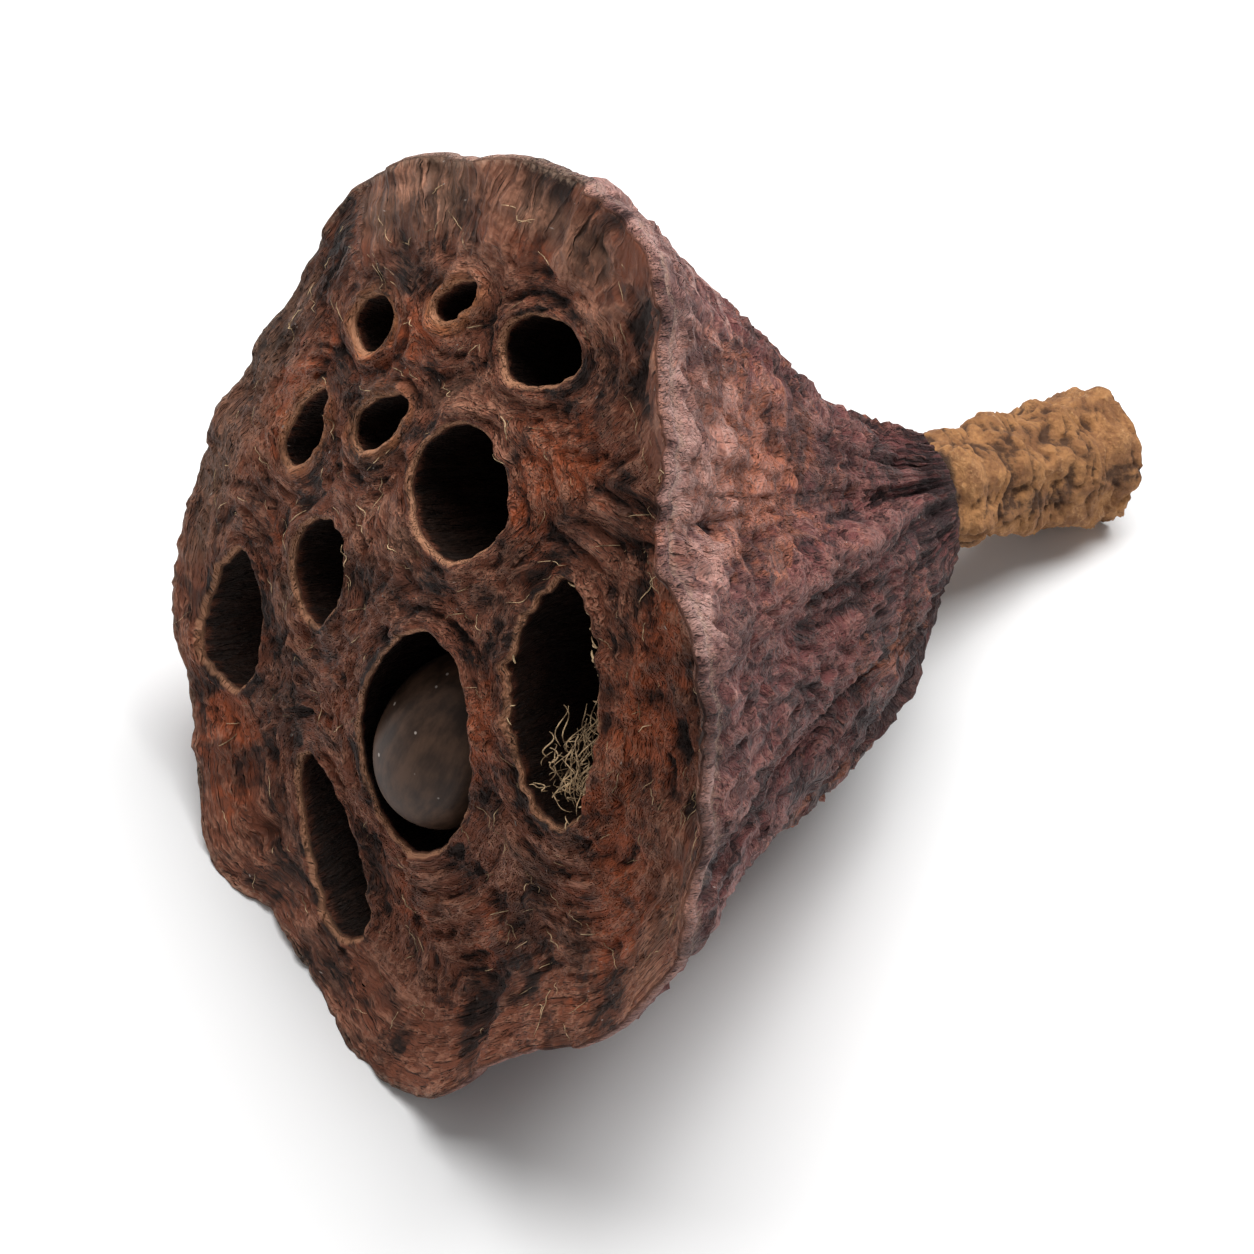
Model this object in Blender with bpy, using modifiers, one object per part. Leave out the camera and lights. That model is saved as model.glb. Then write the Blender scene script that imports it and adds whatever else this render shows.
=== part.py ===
"""A dried lotus pod lying on its side.

The receptacle is a leathery funnel. Its domed face is pierced by the mouths of the seed pits, each
with a raised lip, and its rim waves in and out. One seed is left in the largest pit. A stub of the
corky stalk sits in the funnel's narrow end. The pod rests on two lobes of its rim and on the stub.

The pod is shaped in its own frame and then laid down. There u points right and v up across the face,
w points out of the face, and the middle of the rim's plane is the origin. Sizes are in metres.
"""

import math

import bmesh
import bpy
import numpy as np
from mathutils import Matrix, Vector

MM = 0.001

# How the pod lies: the face looks along -Y and leans back by this angle.
LEAN_BACK = math.radians(24)
# Where the middle of the rim's plane is, with the resting lobes on the plane z = 0.
FACE_CENTRE = Vector((-1.71 * MM, -24.58 * MM, 32.6 * MM))

# The rim, going round from the right: angle in degrees, radius, height of the edge above the rim's
# plane, and depth of the moat inside the edge, all three in millimetres.
RIM = (
    (-170, 30.0, -1.0, 0.5),
    (-152, 32.2, -0.5, 0.5),
    (-138, 33.8, 0.0, 1.0),
    (-126, 34.0, 0.0, 1.2),
    (-116, 35.9, 0.5, 1.5),
    (-107, 37.3, 0.5, 1.5),
    (-92, 35.0, 0.5, 1.0),
    (-80, 36.6, 0.5, 1.5),
    (-70, 38.3, 0.5, 1.8),
    (-57, 36.0, 1.0, 2.0),
    (-44, 32.0, 1.3, 2.0),
    (-28, 32.3, 1.3, 2.2),
    (-10, 32.8, 1.3, 2.2),
    (6, 33.0, 2.0, 2.2),
    (20, 32.6, 3.0, 2.0),
    (34, 33.6, 4.2, 1.7),
    (48, 33.2, 4.8, 1.5),
    (60, 32.3, 4.0, 1.5),
    (72, 35.0, 2.0, 1.2),
    (84, 39.3, 0.2, 1.0),
    (96, 39.0, -0.8, 0.8),
    (110, 36.8, -1.2, 0.5),
    (126, 34.6, -1.6, 0.0),
    (142, 33.2, -2.0, 0.0),
    (158, 29.8, -2.0, 0.0),
    (174, 28.8, -1.5, 0.3),
)
CROWN = 3.5 * MM
MOAT_AT = 0.82
EDGE_THICK = 1.3 * MM
RIM_CRINKLE = 0.35 * MM
BRIM_FOLD = 0.4 * MM

# The funnel below the rim.
FUNNEL_DEEP = 48.2 * MM
FUNNEL_END_R = 5.7 * MM
FUNNEL_END_U = -1.5 * MM
FUNNEL_END_V = -0.65 * MM
WAIST = 0.058
# The funnel bows: half way down it is drawn in on the side of BOW_FROM and swells on the other.
SHOULDER = 0.6 * MM
BOW = 9.6 * MM
BOW_FROM = math.radians(116)
PLEATS = 13
PLEAT_HIGH = 0.45 * MM

# The pit mouths: centre u and v, half length, half width, direction of the length in degrees, how
# far the shape tapers along its length, squareness (2 is an ellipse), the pit's depth, and how wide
# its belly is against the mouth.
MOUTHS = {
    "left_high": (-17.4, 15.2, 2.6, 1.8, 71, 0.2, 2.2, 8.0, 1.04),
    "top_slit": (-11.2, 23.0, 2.9, 1.1, 63, 0.3, 2.0, 7.0, 1.04),
    "top_round": (-2.4, 25.8, 4.1, 2.5, 43, 0.1, 2.3, 12.0, 1.06),
    "left_slit": (-19.7, 2.2, 4.4, 1.7, 80, 0.1, 1.9, 9.0, 1.06),
    "small_slit": (-12.3, 10.1, 4.0, 1.6, 65, 0.3, 2.0, 9.0, 1.04),
    "upper": (-2.1, 12.5, 5.0, 4.7, 68, 0.0, 2.3, 16.0, 1.06),
    "left_low": (-19.5, -18.1, 6.2, 3.3, 100, 0.2, 2.1, 11.0, 1.06),
    "left": (-11.7, -4.8, 4.9, 3.7, 81, 0.15, 1.9, 14.0, 1.06),
    "seeded": (3.9, -7.8, 10.2, 5.7, 94, 0.05, 2.15, 15.0, 1.13),
    "right": (13.0, 4.8, 9.8, 3.6, 113, 0.0, 2.0, 15.0, 1.06),
    "low_slit": (-1.5, -25.6, 7.4, 3.5, 138, -0.15, 2.4, 12.0, 1.04),
}
# A pit from above its mouth to its floor: height in depths, width against the mouth's, and how much
# of the belly's extra width it has.
PIT_PROFILE = (
    (0.45, 1.10, 0.0),
    (0.02, 1.00, 0.0),
    (-0.12, 1.00, 0.5),
    (-0.32, 1.00, 1.0),
    (-0.55, 0.96, 0.9),
    (-0.76, 0.79, 0.4),
    (-0.92, 0.48, 0.0),
)
PIT_LEAN = 0.8
# How far a pit's belly lies off its mouth in u and v: the seed has pushed its pit down and aside.
BELLY_SLIDE = {"seeded": (-1.0, -1.2)}
PIT_STEPS_PER_MM = 0.42
LIP_REACH = 0.9 * MM
LIP_THICK = 0.75 * MM
LIP_RISE = 0.15 * MM

# The seed, and where its middle lies in the pit.
SEED_HALF_LONG = 7.6 * MM
SEED_HALF_WIDE = 5.6 * MM
SEED_AT = Vector((3.05 * MM, -9.45 * MM, -2.5 * MM))
SEED_TURN = math.radians(3)
SEED_DIP = math.radians(-8)

# The stalk's stub: it stands in a socket at the funnel's end.
SOCKET_R = 4.6 * MM
SOCKET_DEEP = 3.0 * MM
FIT_GAP = 0.3 * MM
STUB_LONG = 20.5 * MM
STUB_R = 4.3 * MM
STUB_FLARE = 0.7 * MM

FACE_ROWS = 12
FUNNEL_ROWS = 13
COLUMNS = 84
REST_BLOCK = 0.2


def clear_scene():
    for item in list(bpy.data.objects):
        bpy.data.objects.remove(item, do_unlink=True)


def new_collection(name):
    made = bpy.data.collections.new(name)
    bpy.context.scene.collection.children.link(made)
    return made


def material(name, colour, roughness):
    made = bpy.data.materials.new(name)
    made.use_nodes = True
    shader = made.node_tree.nodes["Principled BSDF"]
    shader.inputs["Base Color"].default_value = (*colour, 1)
    shader.inputs["Roughness"].default_value = roughness
    shader.inputs["Metallic"].default_value = 0
    return made


def ease(x):
    """0 below 0, 1 above 1, and a smooth rise between."""
    x = np.clip(x, 0, 1)
    return x * x * (3 - 2 * x)


def round_rim(angle, column):
    """A closed smooth curve through one column of RIM: a cubic between each two stations."""
    at = np.radians([row[0] for row in RIM])
    value = np.array([row[column] for row in RIM]) * MM
    gap = np.diff(np.append(at, at[0] + 2 * np.pi))
    step = np.roll(value, -1) - value
    slope = (np.roll(step / gap, 1) * gap + step / gap * np.roll(gap, 1)) / (gap + np.roll(gap, 1))
    turned_to = np.mod(angle - at[0], 2 * np.pi) + at[0]
    i = np.clip(np.searchsorted(at, turned_to, side="right") - 1, 0, len(at) - 1)
    j = (i + 1) % len(at)
    x = (turned_to - at[i]) / gap[i]
    along = value[i] + step[i] * ease(x)
    return along + gap[i] * x * (1 - x) * (slope[i] * (1 - x) - slope[j] * x)


def rim_radius(angle):
    """The rim's radius with the short crinkles of its dried edge."""
    crinkle = np.sin(17 * angle + 1.3) + 0.6 * np.sin(23 * angle + 0.4)
    return round_rim(angle, 1) + RIM_CRINKLE * crinkle


def edge_height(angle):
    """Height of the rim's edge, with the shallow folds of the brim."""
    fold = np.sin(13 * angle + 2.2 * np.sin(2 * angle)) + 0.5 * np.sin(19 * angle + 0.7)
    return round_rim(angle, 2) + BRIM_FOLD * fold


def face_height(u, v):
    """Height of the face: a dome that falls to the moat, then the rise or fall to the rim's edge."""
    angle = np.arctan2(v, u)
    share = np.hypot(u, v) / rim_radius(angle)
    edge, moat = edge_height(angle), round_rim(angle, 3)
    dome = CROWN - (CROWN + moat) * (1 - np.cos(np.pi * np.clip(share / MOAT_AT, 0, 1))) / 2
    rise = np.clip((share - MOAT_AT) / (1 - MOAT_AT), 0, 1.5)
    brim = -moat + (edge + moat) * (0.35 * rise**2 + 0.65 * ease(rise))
    return np.where(share < MOAT_AT, dome, brim)


def funnel_point(angle, down):
    """A point of the funnel's skin; down is 0 under the rim and 1 at the stalk."""
    rim = rim_radius(angle)
    taper = (1 - down) * (1 - WAIST * np.sin(np.pi * np.minimum(down * 1.6, 1)))
    swell = (SHOULDER - BOW * np.cos(angle - BOW_FROM)) * np.sin(np.pi * down) * down**2
    pleat = np.sin(PLEATS * angle + 2.2 * np.sin(2 * angle) + 3 * down)
    radius = FUNNEL_END_R + (rim - FUNNEL_END_R) * taper + swell
    radius = radius + PLEAT_HIGH * pleat * np.sin(np.pi * np.clip(down * 1.08, 0, 1)) ** 0.7
    height = (edge_height(angle) - EDGE_THICK) * (1 - down) ** 2 - FUNNEL_DEEP * down
    u = radius * np.cos(angle) + FUNNEL_END_U * down
    v = radius * np.sin(angle) + FUNNEL_END_V * down
    return u, v, height


def as_mesh(item):
    """The object with its modifiers applied, as a welded mesh in the same collection."""
    evaluated = item.evaluated_get(bpy.context.evaluated_depsgraph_get())
    mesh = bpy.data.meshes.new_from_object(evaluated)
    item.modifiers.clear()
    item.data = mesh
    work = bmesh.new()
    work.from_mesh(mesh)
    bmesh.ops.remove_doubles(work, verts=work.verts, dist=1e-7)
    bmesh.ops.recalc_face_normals(work, faces=work.faces)
    work.to_mesh(mesh)
    work.free()
    return item


def turned(name, profile, steps, collection):
    """A blank turned about w: profile runs from the top of the axis, down the outside, to its foot."""
    mesh = bpy.data.meshes.new(name)
    points = [(radius, 0, height) for radius, height in profile]
    mesh.from_pydata(points, [(i, i + 1) for i in range(len(points) - 1)], [])
    item = bpy.data.objects.new(name, mesh)
    collection.objects.link(item)
    screw = item.modifiers.new("Turn", "SCREW")
    screw.steps = screw.render_steps = steps
    screw.use_merge_vertices = True
    screw.merge_threshold = 1e-7
    bpy.context.view_layer.update()
    return as_mesh(item)


def shaped(item, shape):
    """Moves every vertex of a blank to where shape, a function of arrays x, y and z, puts it."""
    points = np.empty(len(item.data.vertices) * 3, np.float32)
    item.data.vertices.foreach_get("co", points)
    x, y, z = points.reshape(-1, 3).astype(float).T
    item.data.vertices.foreach_set("co", np.column_stack(shape(x, y, z)).astype(np.float32).ravel())
    item.data.update()
    return item


def cut_or_join(item, operation, collection):
    """One Boolean between the object and everything in a collection."""
    boolean = item.modifiers.new(operation.title(), "BOOLEAN")
    boolean.operation = operation
    boolean.operand_type = "COLLECTION"
    boolean.collection = collection
    boolean.solver = "EXACT"


def make_receptacle_body(collection):
    """The funnel and its face without pits: a turned blank pressed into the rim's outline.

    On the blank the face is the flat disc of radius 1 at height 0, the skin falls to height -1 at the
    stalk, and the socket's wall and floor are below -1.
    """
    face = [(row / FACE_ROWS, 0) for row in range(FACE_ROWS + 1)]
    skin = [(1 - 0.5 * row / FUNNEL_ROWS, -row / FUNNEL_ROWS) for row in range(1, FUNNEL_ROWS + 1)]
    under_edge = [(1, -0.001)]
    socket = [(0.4, -1.1), (0.4, -1.2), (0, -1.2)]
    blank = turned("receptacle", face + under_edge + skin + socket, COLUMNS, collection)

    def press(x, y, z):
        angle, share = np.arctan2(y, x), np.hypot(x, y)
        rim = rim_radius(angle)
        on_face = np.stack([share * rim * np.cos(angle), share * rim * np.sin(angle)])
        face_point = np.stack([*on_face, face_height(*on_face)])
        skin_point = np.stack(funnel_point(angle, np.clip(-z, 0, 1)))
        socket_r = np.where(share > 0.1, SOCKET_R, 0)
        floor = np.where(z < -1.15, SOCKET_DEEP, 0)
        socket_u = socket_r * np.cos(angle) + FUNNEL_END_U
        socket_v = socket_r * np.sin(angle) + FUNNEL_END_V
        socket_point = np.stack([socket_u, socket_v, floor - FUNNEL_DEEP])
        placed = np.where(z > -0.0005, face_point, np.where(z > -1.05, skin_point, socket_point))
        return tuple(placed)

    return shaped(blank, press)


def mouth_outline(mouth, angle, beyond=0.0):
    """The mouth's outline, or a line that far outside it; angle goes round the mouth."""
    centre_u, centre_v, half_long, half_wide, turn, taper, square = MOUTHS[mouth][:7]
    c, s = np.cos(angle), np.sin(angle)
    along = (half_long * MM + beyond) * np.sign(c) * np.abs(c) ** (2 / square)
    narrowing = 1 - taper * along / (half_long * MM)
    across = (half_wide * MM + beyond) * np.sign(s) * np.abs(s) ** (2 / square) * narrowing
    turn = math.radians(turn)
    u = centre_u * MM + along * math.cos(turn) - across * math.sin(turn)
    v = centre_v * MM + along * math.sin(turn) + across * math.cos(turn)
    return u, v


def steps_round(mouth):
    """How many sides a pit and its lip get: more on a larger mouth."""
    half_long, half_wide = MOUTHS[mouth][2:4]
    return max(12, 2 * round(math.pi * (half_long + half_wide) * PIT_STEPS_PER_MM / 2))


def make_lip(mouth, collection):
    """The raised lip: a torus drawn out along the mouth and laid on the face."""
    bpy.ops.mesh.primitive_torus_add(
        major_segments=steps_round(mouth), minor_segments=6, major_radius=1, minor_radius=0.5
    )
    lip = bpy.context.object
    lip.name = "lip_" + mouth
    for holder in lip.users_collection:
        holder.objects.unlink(lip)
    collection.objects.link(lip)

    def lay(x, y, z):
        angle, out = np.arctan2(y, x), np.hypot(x, y) - 1
        u, v = mouth_outline(mouth, angle, LIP_REACH * 0.6 + 2 * LIP_REACH * out)
        return u, v, face_height(u, v) + LIP_RISE + 2 * LIP_THICK * z

    return shaped(lip, lay)


def make_pit(mouth, collection):
    """The cutter of a seed pit: a turned egg with the mouth's outline, leaning towards the stalk."""
    centre_u, centre_v = MOUTHS[mouth][0] * MM, MOUTHS[mouth][1] * MM
    deep, belly = MOUTHS[mouth][7] * MM, MOUTHS[mouth][8] - 1
    side = [(wide + belly * share, high) for high, wide, share in PIT_PROFILE]
    profile = [(0, PIT_PROFILE[0][0]), *side, (0, -1)]
    blank = turned("pit_" + mouth, profile, steps_round(mouth), collection)
    ground = float(face_height(np.array(centre_u), np.array(centre_v)))
    slide_u, slide_v = BELLY_SLIDE.get(mouth, (0, 0))

    def bore(x, y, z):
        angle, wide = np.arctan2(y, x), np.hypot(x, y)
        u, v = mouth_outline(mouth, angle)
        follow = ease((z + 0.7) / 0.5) * (wide > 0.1)
        height = ground + deep * z + (face_height(u, v) - ground) * follow
        shrink = 1 - PIT_LEAN * deep * np.clip(-z, 0, 1) / FUNNEL_DEEP
        slid = MM * np.interp(-z, [-row[0] for row in PIT_PROFILE], [row[2] for row in PIT_PROFILE])
        u = centre_u * shrink + (u - centre_u) * wide + slide_u * slid
        v = centre_v * shrink + (v - centre_v) * wide + slide_v * slid
        return u, v, height

    return shaped(blank, bore)


def make_seed(collection):
    """The seed: an ellipsoid, a little blunter at one end, with the nub of its style at the other."""
    bpy.ops.mesh.primitive_uv_sphere_add(segments=24, ring_count=14, radius=1)
    seed = bpy.context.object
    seed.name = "seed"
    for holder in seed.users_collection:
        holder.objects.unlink(seed)
    collection.objects.link(seed)

    def swell(x, y, z):
        fullness = 1 - 0.10 * z
        nub = 0.6 * MM * np.exp(-(((1 - z) / 0.03) ** 2))
        return (
            SEED_HALF_WIDE * x * fullness,
            SEED_HALF_WIDE * y * fullness * 0.97,
            SEED_HALF_LONG * z + nub,
        )

    shaped(seed, swell)
    stand = Matrix.Rotation(SEED_TURN, 4, "Z") @ Matrix.Rotation(SEED_DIP - math.pi / 2, 4, "X")
    seed.data.transform(stand)
    seed.location = SEED_AT
    return seed


def make_stub(collection):
    """The stalk's corky stub: a turned rod with ring swellings, furrows and a flared, broken end."""
    rows = 15
    long = STUB_LONG + SOCKET_DEEP - FIT_GAP
    side = [(1, -row / rows) for row in range(rows + 1)]
    blank = turned("stalk_stub", [(0, 0), *side, (0.5, -1), (0, -1)], 26, collection)

    def roughen(x, y, z):
        angle, share, down = np.arctan2(y, x), np.hypot(x, y), -z
        bare = ease((down * long - SOCKET_DEEP) / (1.2 * MM))
        rings = 0.16 * np.sin(down * 26 + 0.9 * np.sin(angle)) + 0.10 * np.sin(down * 47 + 2 * angle)
        furrows = 0.14 * np.sin(5 * angle + 5 * down) + 0.10 * np.sin(9 * angle - 3 * down + 1)
        flare = STUB_FLARE * ease((down - 0.55) / 0.4) * (1 + 0.25 * np.sin(2 * angle + 0.6))
        radius = share * (STUB_R + bare * (2 * MM * (rings + furrows) * 0.8 + flare + 0.1 * MM))
        end = ease((down - 0.9) / 0.1) * 0.35 * MM * np.sin(3 * angle + 1) * share
        hollow = np.where((down > 0.99) & (share < 0.7), 0.9 * MM, 0)
        height = SOCKET_DEEP - FIT_GAP - FUNNEL_DEEP - long * down + end + hollow
        return radius * np.cos(angle) + FUNNEL_END_U, radius * np.sin(angle) + FUNNEL_END_V, height

    return shaped(blank, roughen)


def make_table_block(collection):
    """The cutter that gives the resting lobes and the stub their small flats at z = 0."""
    bpy.ops.mesh.primitive_cube_add(size=REST_BLOCK, location=(0, 0, -REST_BLOCK / 2))
    block = bpy.context.object
    block.name = "table_block"
    for holder in block.users_collection:
        holder.objects.unlink(block)
    collection.objects.link(block)
    return block


def hide_guides(collection):
    for item in collection.objects:
        item.hide_render = True
        item.display_type = "WIRE"


def lay_down(items):
    """Parents everything to an empty at the middle of the face, leaning back on the rim and stub."""
    empty = bpy.data.objects.new("face_centre", None)
    bpy.context.scene.collection.objects.link(empty)
    empty.location = FACE_CENTRE
    empty.rotation_euler = (math.pi / 2 - LEAN_BACK, 0, 0)
    for item in items:
        item.parent = empty


def finish(item, look, sharp_from):
    item.data.materials.clear()
    item.data.materials.append(look)
    item.data.shade_smooth()
    item.data.set_sharp_from_angle(angle=sharp_from)


def main():
    clear_scene()
    pod = new_collection("dried_lotus_pod")
    lips, pits, table = (new_collection(name) for name in ("lips", "pits", "table"))

    receptacle = make_receptacle_body(pod)
    seed = make_seed(pod)
    stub = make_stub(pod)
    for mouth in MOUTHS:
        make_lip(mouth, lips)
        make_pit(mouth, pits)
    make_table_block(table)

    finish(receptacle, material("dried_receptacle", (0.13, 0.065, 0.045), 0.75), math.radians(50))
    finish(seed, material("seed_coat", (0.16, 0.115, 0.085), 0.45), math.radians(60))
    finish(stub, material("corky_stalk", (0.45, 0.24, 0.10), 0.85), math.radians(50))

    cut_or_join(receptacle, "UNION", lips)
    cut_or_join(receptacle, "DIFFERENCE", pits)
    for item in (receptacle, stub):
        cut_or_join(item, "DIFFERENCE", table)
    for guides in (lips, pits, table):
        hide_guides(guides)
    lay_down([receptacle, seed, stub, *lips.objects, *pits.objects])


main()
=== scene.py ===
"""A dried lotus pod lying on its side: fine surfaces, materials, light and camera.

Shapes are worked out in the pod's own frame, in millimetres: u points right and v up across the
face, w points out of the face, and the middle of the rim's plane is the origin. The function placed
takes them to the row frame, in metres.
"""

import itertools
import math

import bpy
import numpy as np
from bpy.props import FloatProperty, FloatVectorProperty, PointerProperty
from mathutils import Matrix, Vector
from mathutils.geometry import delaunay_2d_cdt


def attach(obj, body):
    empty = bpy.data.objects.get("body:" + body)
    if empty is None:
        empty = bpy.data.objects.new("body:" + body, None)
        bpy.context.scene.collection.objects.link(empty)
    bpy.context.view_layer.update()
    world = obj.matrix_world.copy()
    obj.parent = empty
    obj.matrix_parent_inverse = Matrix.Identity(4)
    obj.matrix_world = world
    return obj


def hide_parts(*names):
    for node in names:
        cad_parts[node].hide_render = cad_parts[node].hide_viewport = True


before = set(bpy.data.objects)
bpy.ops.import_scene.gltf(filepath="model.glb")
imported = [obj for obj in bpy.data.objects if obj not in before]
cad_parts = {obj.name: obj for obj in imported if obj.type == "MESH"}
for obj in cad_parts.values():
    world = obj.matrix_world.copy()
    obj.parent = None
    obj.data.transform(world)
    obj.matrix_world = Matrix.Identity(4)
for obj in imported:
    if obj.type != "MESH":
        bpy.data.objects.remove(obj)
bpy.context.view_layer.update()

bl_info = {
    "name": "Dried Lotus Pod",
    "version": (1, 0, 0),
    "blender": (4, 5, 0),
    "location": "View3D > Sidebar > Lotus Pod",
    "description": "Builds the detailed surfaces, materials and stage of a dried lotus pod",
    "category": "Object",
}

MM = 0.001
LEAN_BACK = math.radians(24)
FACE_CENTRE = np.array([-1.71, -24.58, 32.6])
SIN_LEAN, COS_LEAN = math.sin(LEAN_BACK), math.cos(LEAN_BACK)
# The directions of u, v and w in the row frame.
POD_AXES = np.array([[1, 0, 0], [0, SIN_LEAN, COS_LEAN], [0, -COS_LEAN, SIN_LEAN]])

# The rim, going round from the right: angle in degrees, radius, height of the edge above the rim's
# plane, and depth of the moat inside the edge.
RIM = (
    (-170, 30.0, -1.0, 0.5),
    (-152, 32.2, -0.5, 0.5),
    (-138, 33.8, 0.0, 1.0),
    (-126, 34.0, 0.0, 1.2),
    (-116, 35.9, 0.5, 1.5),
    (-107, 37.3, 0.5, 1.5),
    (-92, 35.0, 0.5, 1.0),
    (-80, 36.6, 0.5, 1.5),
    (-70, 38.3, 0.5, 1.8),
    (-57, 36.0, 1.0, 2.0),
    (-44, 32.0, 1.3, 2.0),
    (-28, 32.3, 1.3, 2.2),
    (-10, 32.8, 1.3, 2.2),
    (6, 33.0, 2.0, 2.2),
    (20, 32.6, 3.0, 2.0),
    (34, 33.6, 4.2, 1.7),
    (48, 33.2, 4.8, 1.5),
    (60, 32.3, 4.0, 1.5),
    (72, 35.0, 2.0, 1.2),
    (84, 39.3, 0.2, 1.0),
    (96, 39.0, -0.8, 0.8),
    (110, 36.8, -1.2, 0.5),
    (126, 34.6, -1.6, 0.0),
    (142, 33.2, -2.0, 0.0),
    (158, 29.8, -2.0, 0.0),
    (174, 28.8, -1.5, 0.3),
)
# The dome's height, how far out the moat's floor lies in radii, and the thickness of the rim's edge.
CROWN = 3.5
MOAT_AT = 0.82
EDGE_THICK = 1.3
# The funnel's depth, its radius and centre at the stalk, and how far its upper part is drawn in.
FUNNEL_DEEP = 48.2
FUNNEL_END_R = 5.7
FUNNEL_END = np.array([-1.5, -0.65])
WAIST = 0.058
# The funnel bows: half way down it is drawn in on the side of BOW_FROM and swells on the other.
SHOULDER = 0.6
BOW = 9.6
BOW_FROM = math.radians(116)

# The pit mouths: centre u and v, half length, half width, direction of the length in degrees, how
# far the shape tapers along its length, squareness (2 is an ellipse), the pit's depth, and how wide
# its belly is against the mouth.
MOUTHS = {
    "left_high": (-17.4, 15.2, 2.6, 1.8, 71, 0.2, 2.2, 8.0, 1.04),
    "top_slit": (-11.2, 23.0, 2.9, 1.1, 63, 0.3, 2.0, 7.0, 1.04),
    "top_round": (-2.4, 25.8, 4.1, 2.5, 43, 0.1, 2.3, 12.0, 1.06),
    "left_slit": (-19.7, 2.2, 4.4, 1.7, 80, 0.1, 1.9, 9.0, 1.06),
    "small_slit": (-12.3, 10.1, 4.0, 1.6, 65, 0.3, 2.0, 9.0, 1.04),
    "upper": (-2.1, 12.5, 5.0, 4.7, 68, 0.0, 2.3, 16.0, 1.06),
    "left_low": (-19.5, -18.1, 6.2, 3.3, 100, 0.2, 2.1, 11.0, 1.06),
    "left": (-11.7, -4.8, 4.9, 3.7, 81, 0.15, 1.9, 14.0, 1.06),
    "seeded": (3.9, -7.8, 10.2, 5.7, 94, 0.05, 2.15, 15.0, 1.13),
    "right": (13.0, 4.8, 9.8, 3.6, 113, 0.0, 2.0, 15.0, 1.06),
    "low_slit": (-1.5, -25.6, 7.4, 3.5, 138, -0.15, 2.4, 12.0, 1.04),
}
# A pit from its mouth to its floor: depth in pit depths, width against the mouth's, and how much of
# the belly's extra width it has.
PIT_PROFILE = np.array(
    [
        (0.0, 1.00, 0.0),
        (0.12, 1.00, 0.5),
        (0.32, 1.00, 1.0),
        (0.55, 0.96, 0.9),
        (0.76, 0.79, 0.4),
        (0.92, 0.48, 0.0),
        (1.0, 0.03, 0.0),
    ]
)
# How far the pits lean to the stalk, and the belly of the seeded pit slides across the face.
PIT_LEAN = 0.8
BELLY_SLIDE = {"seeded": (-1.0, -1.2)}
# How far the torn edges of the mouths stray from their smooth outline.
RAGGED = {"right": 0.45, "left_low": 0.40, "left": 0.26, "top_slit": 0.26, "low_slit": 0.26}
RAGGED_ELSEWHERE = 0.17

# Mesh: columns round the rim and rows down the funnel, steps of the face's grid and of the mouths'
# edges, distances of the rings round a mouth, radii of the rings inside the rim, rows down a pit.
RIM_COLUMNS = 480
FUNNEL_ROWS = 84
GRID_STEP = 0.40
MOUTH_STEP = 0.34
MOUTH_RINGS = (0.0, 0.1, 0.2, 0.32, 0.5, 0.75, 1.05, 1.4)
BRIM_RINGS = (0.988, 0.974, 0.957, 0.938)
PIT_ROWS = 22

SEED_AT = (3.05, -9.45, -2.5)
SEED_HALF_LONG = 7.6
SEED_HALF_WIDE = 5.6
SEED_TURN = math.radians(3)
SEED_DIP = math.radians(-8)

# The stub's length and radius, how far it flares at its end, its socket's depth and width against
# the funnel's end, and the gap between socket and stub.
STUB_LONG = 20.5
STUB_R = 4.3
STUB_FLARE = 0.7
SOCKET_DEEP = 3.0
SOCKET_SHARE = 0.82
FIT_GAP = 0.3

# How many threads the right-hand pit holds, and fibres its edge and the face have at most.
THREADS = 130
EDGE_FIBRES = 60
FACE_FIBRES = 330

# The camera looks at the face from its upper right. Turn, rise, distance and width of the picture
# there, and how far right of the face's middle it looks, in millimetres.
VIEW_TURN = math.radians(56)
VIEW_RISE = math.radians(56)
VIEW_FAR = 450.0
VIEW_WIDE = 92.5
LOOK_ASIDE = 13.32
SENSOR_WIDE = 36.0

# The lights: turn and rise in degrees, size in metres and power in watts.
LIGHTS = {
    "key_light": (236, 70, 0.40, 3.3),
    "side_light": (180, 58, 0.30, 2.4),
}
LIGHTS_FAR = 0.60
ROOM_LIGHT = 0.26
TABLE_REACH = 3.0

# The relief, in millimetres, that the materials of funnel and stub read as 1.
RELIEF_SPAN = 0.5
# What the funnel's streaks are stretched by: fine round it and long down it.
STREAK_SHAPE = np.array([0.85, 0.85, 2.4])


# The pod's shape.


def placed(points):
    """Points of the pod's own frame, in millimetres, in the row frame, in metres."""
    return (FACE_CENTRE + np.asarray(points) @ POD_AXES) * MM


def ease(x):
    """0 below 0, 1 above 1, and a smooth rise between."""
    x = np.clip(x, 0, 1)
    return x * x * (3 - 2 * x)


def cell_directions(cells, seed):
    """A fixed random direction for each whole-number cell: its three numbers mixed and scrambled."""
    mixed = cells @ np.array([73856093, 19349663, 83492791]) + 2654435761 * (seed + 1)
    parts = []
    for factor in (1274126177, 2246822519, 3266489917):
        scrambled = (mixed ^ (mixed >> 13)) * factor & 0xFFFFFFFF
        scrambled = (scrambled ^ (scrambled >> 16)) & 0xFFFF
        parts.append(scrambled / 32767.5 - 1)
    return np.stack(parts, -1)


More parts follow.
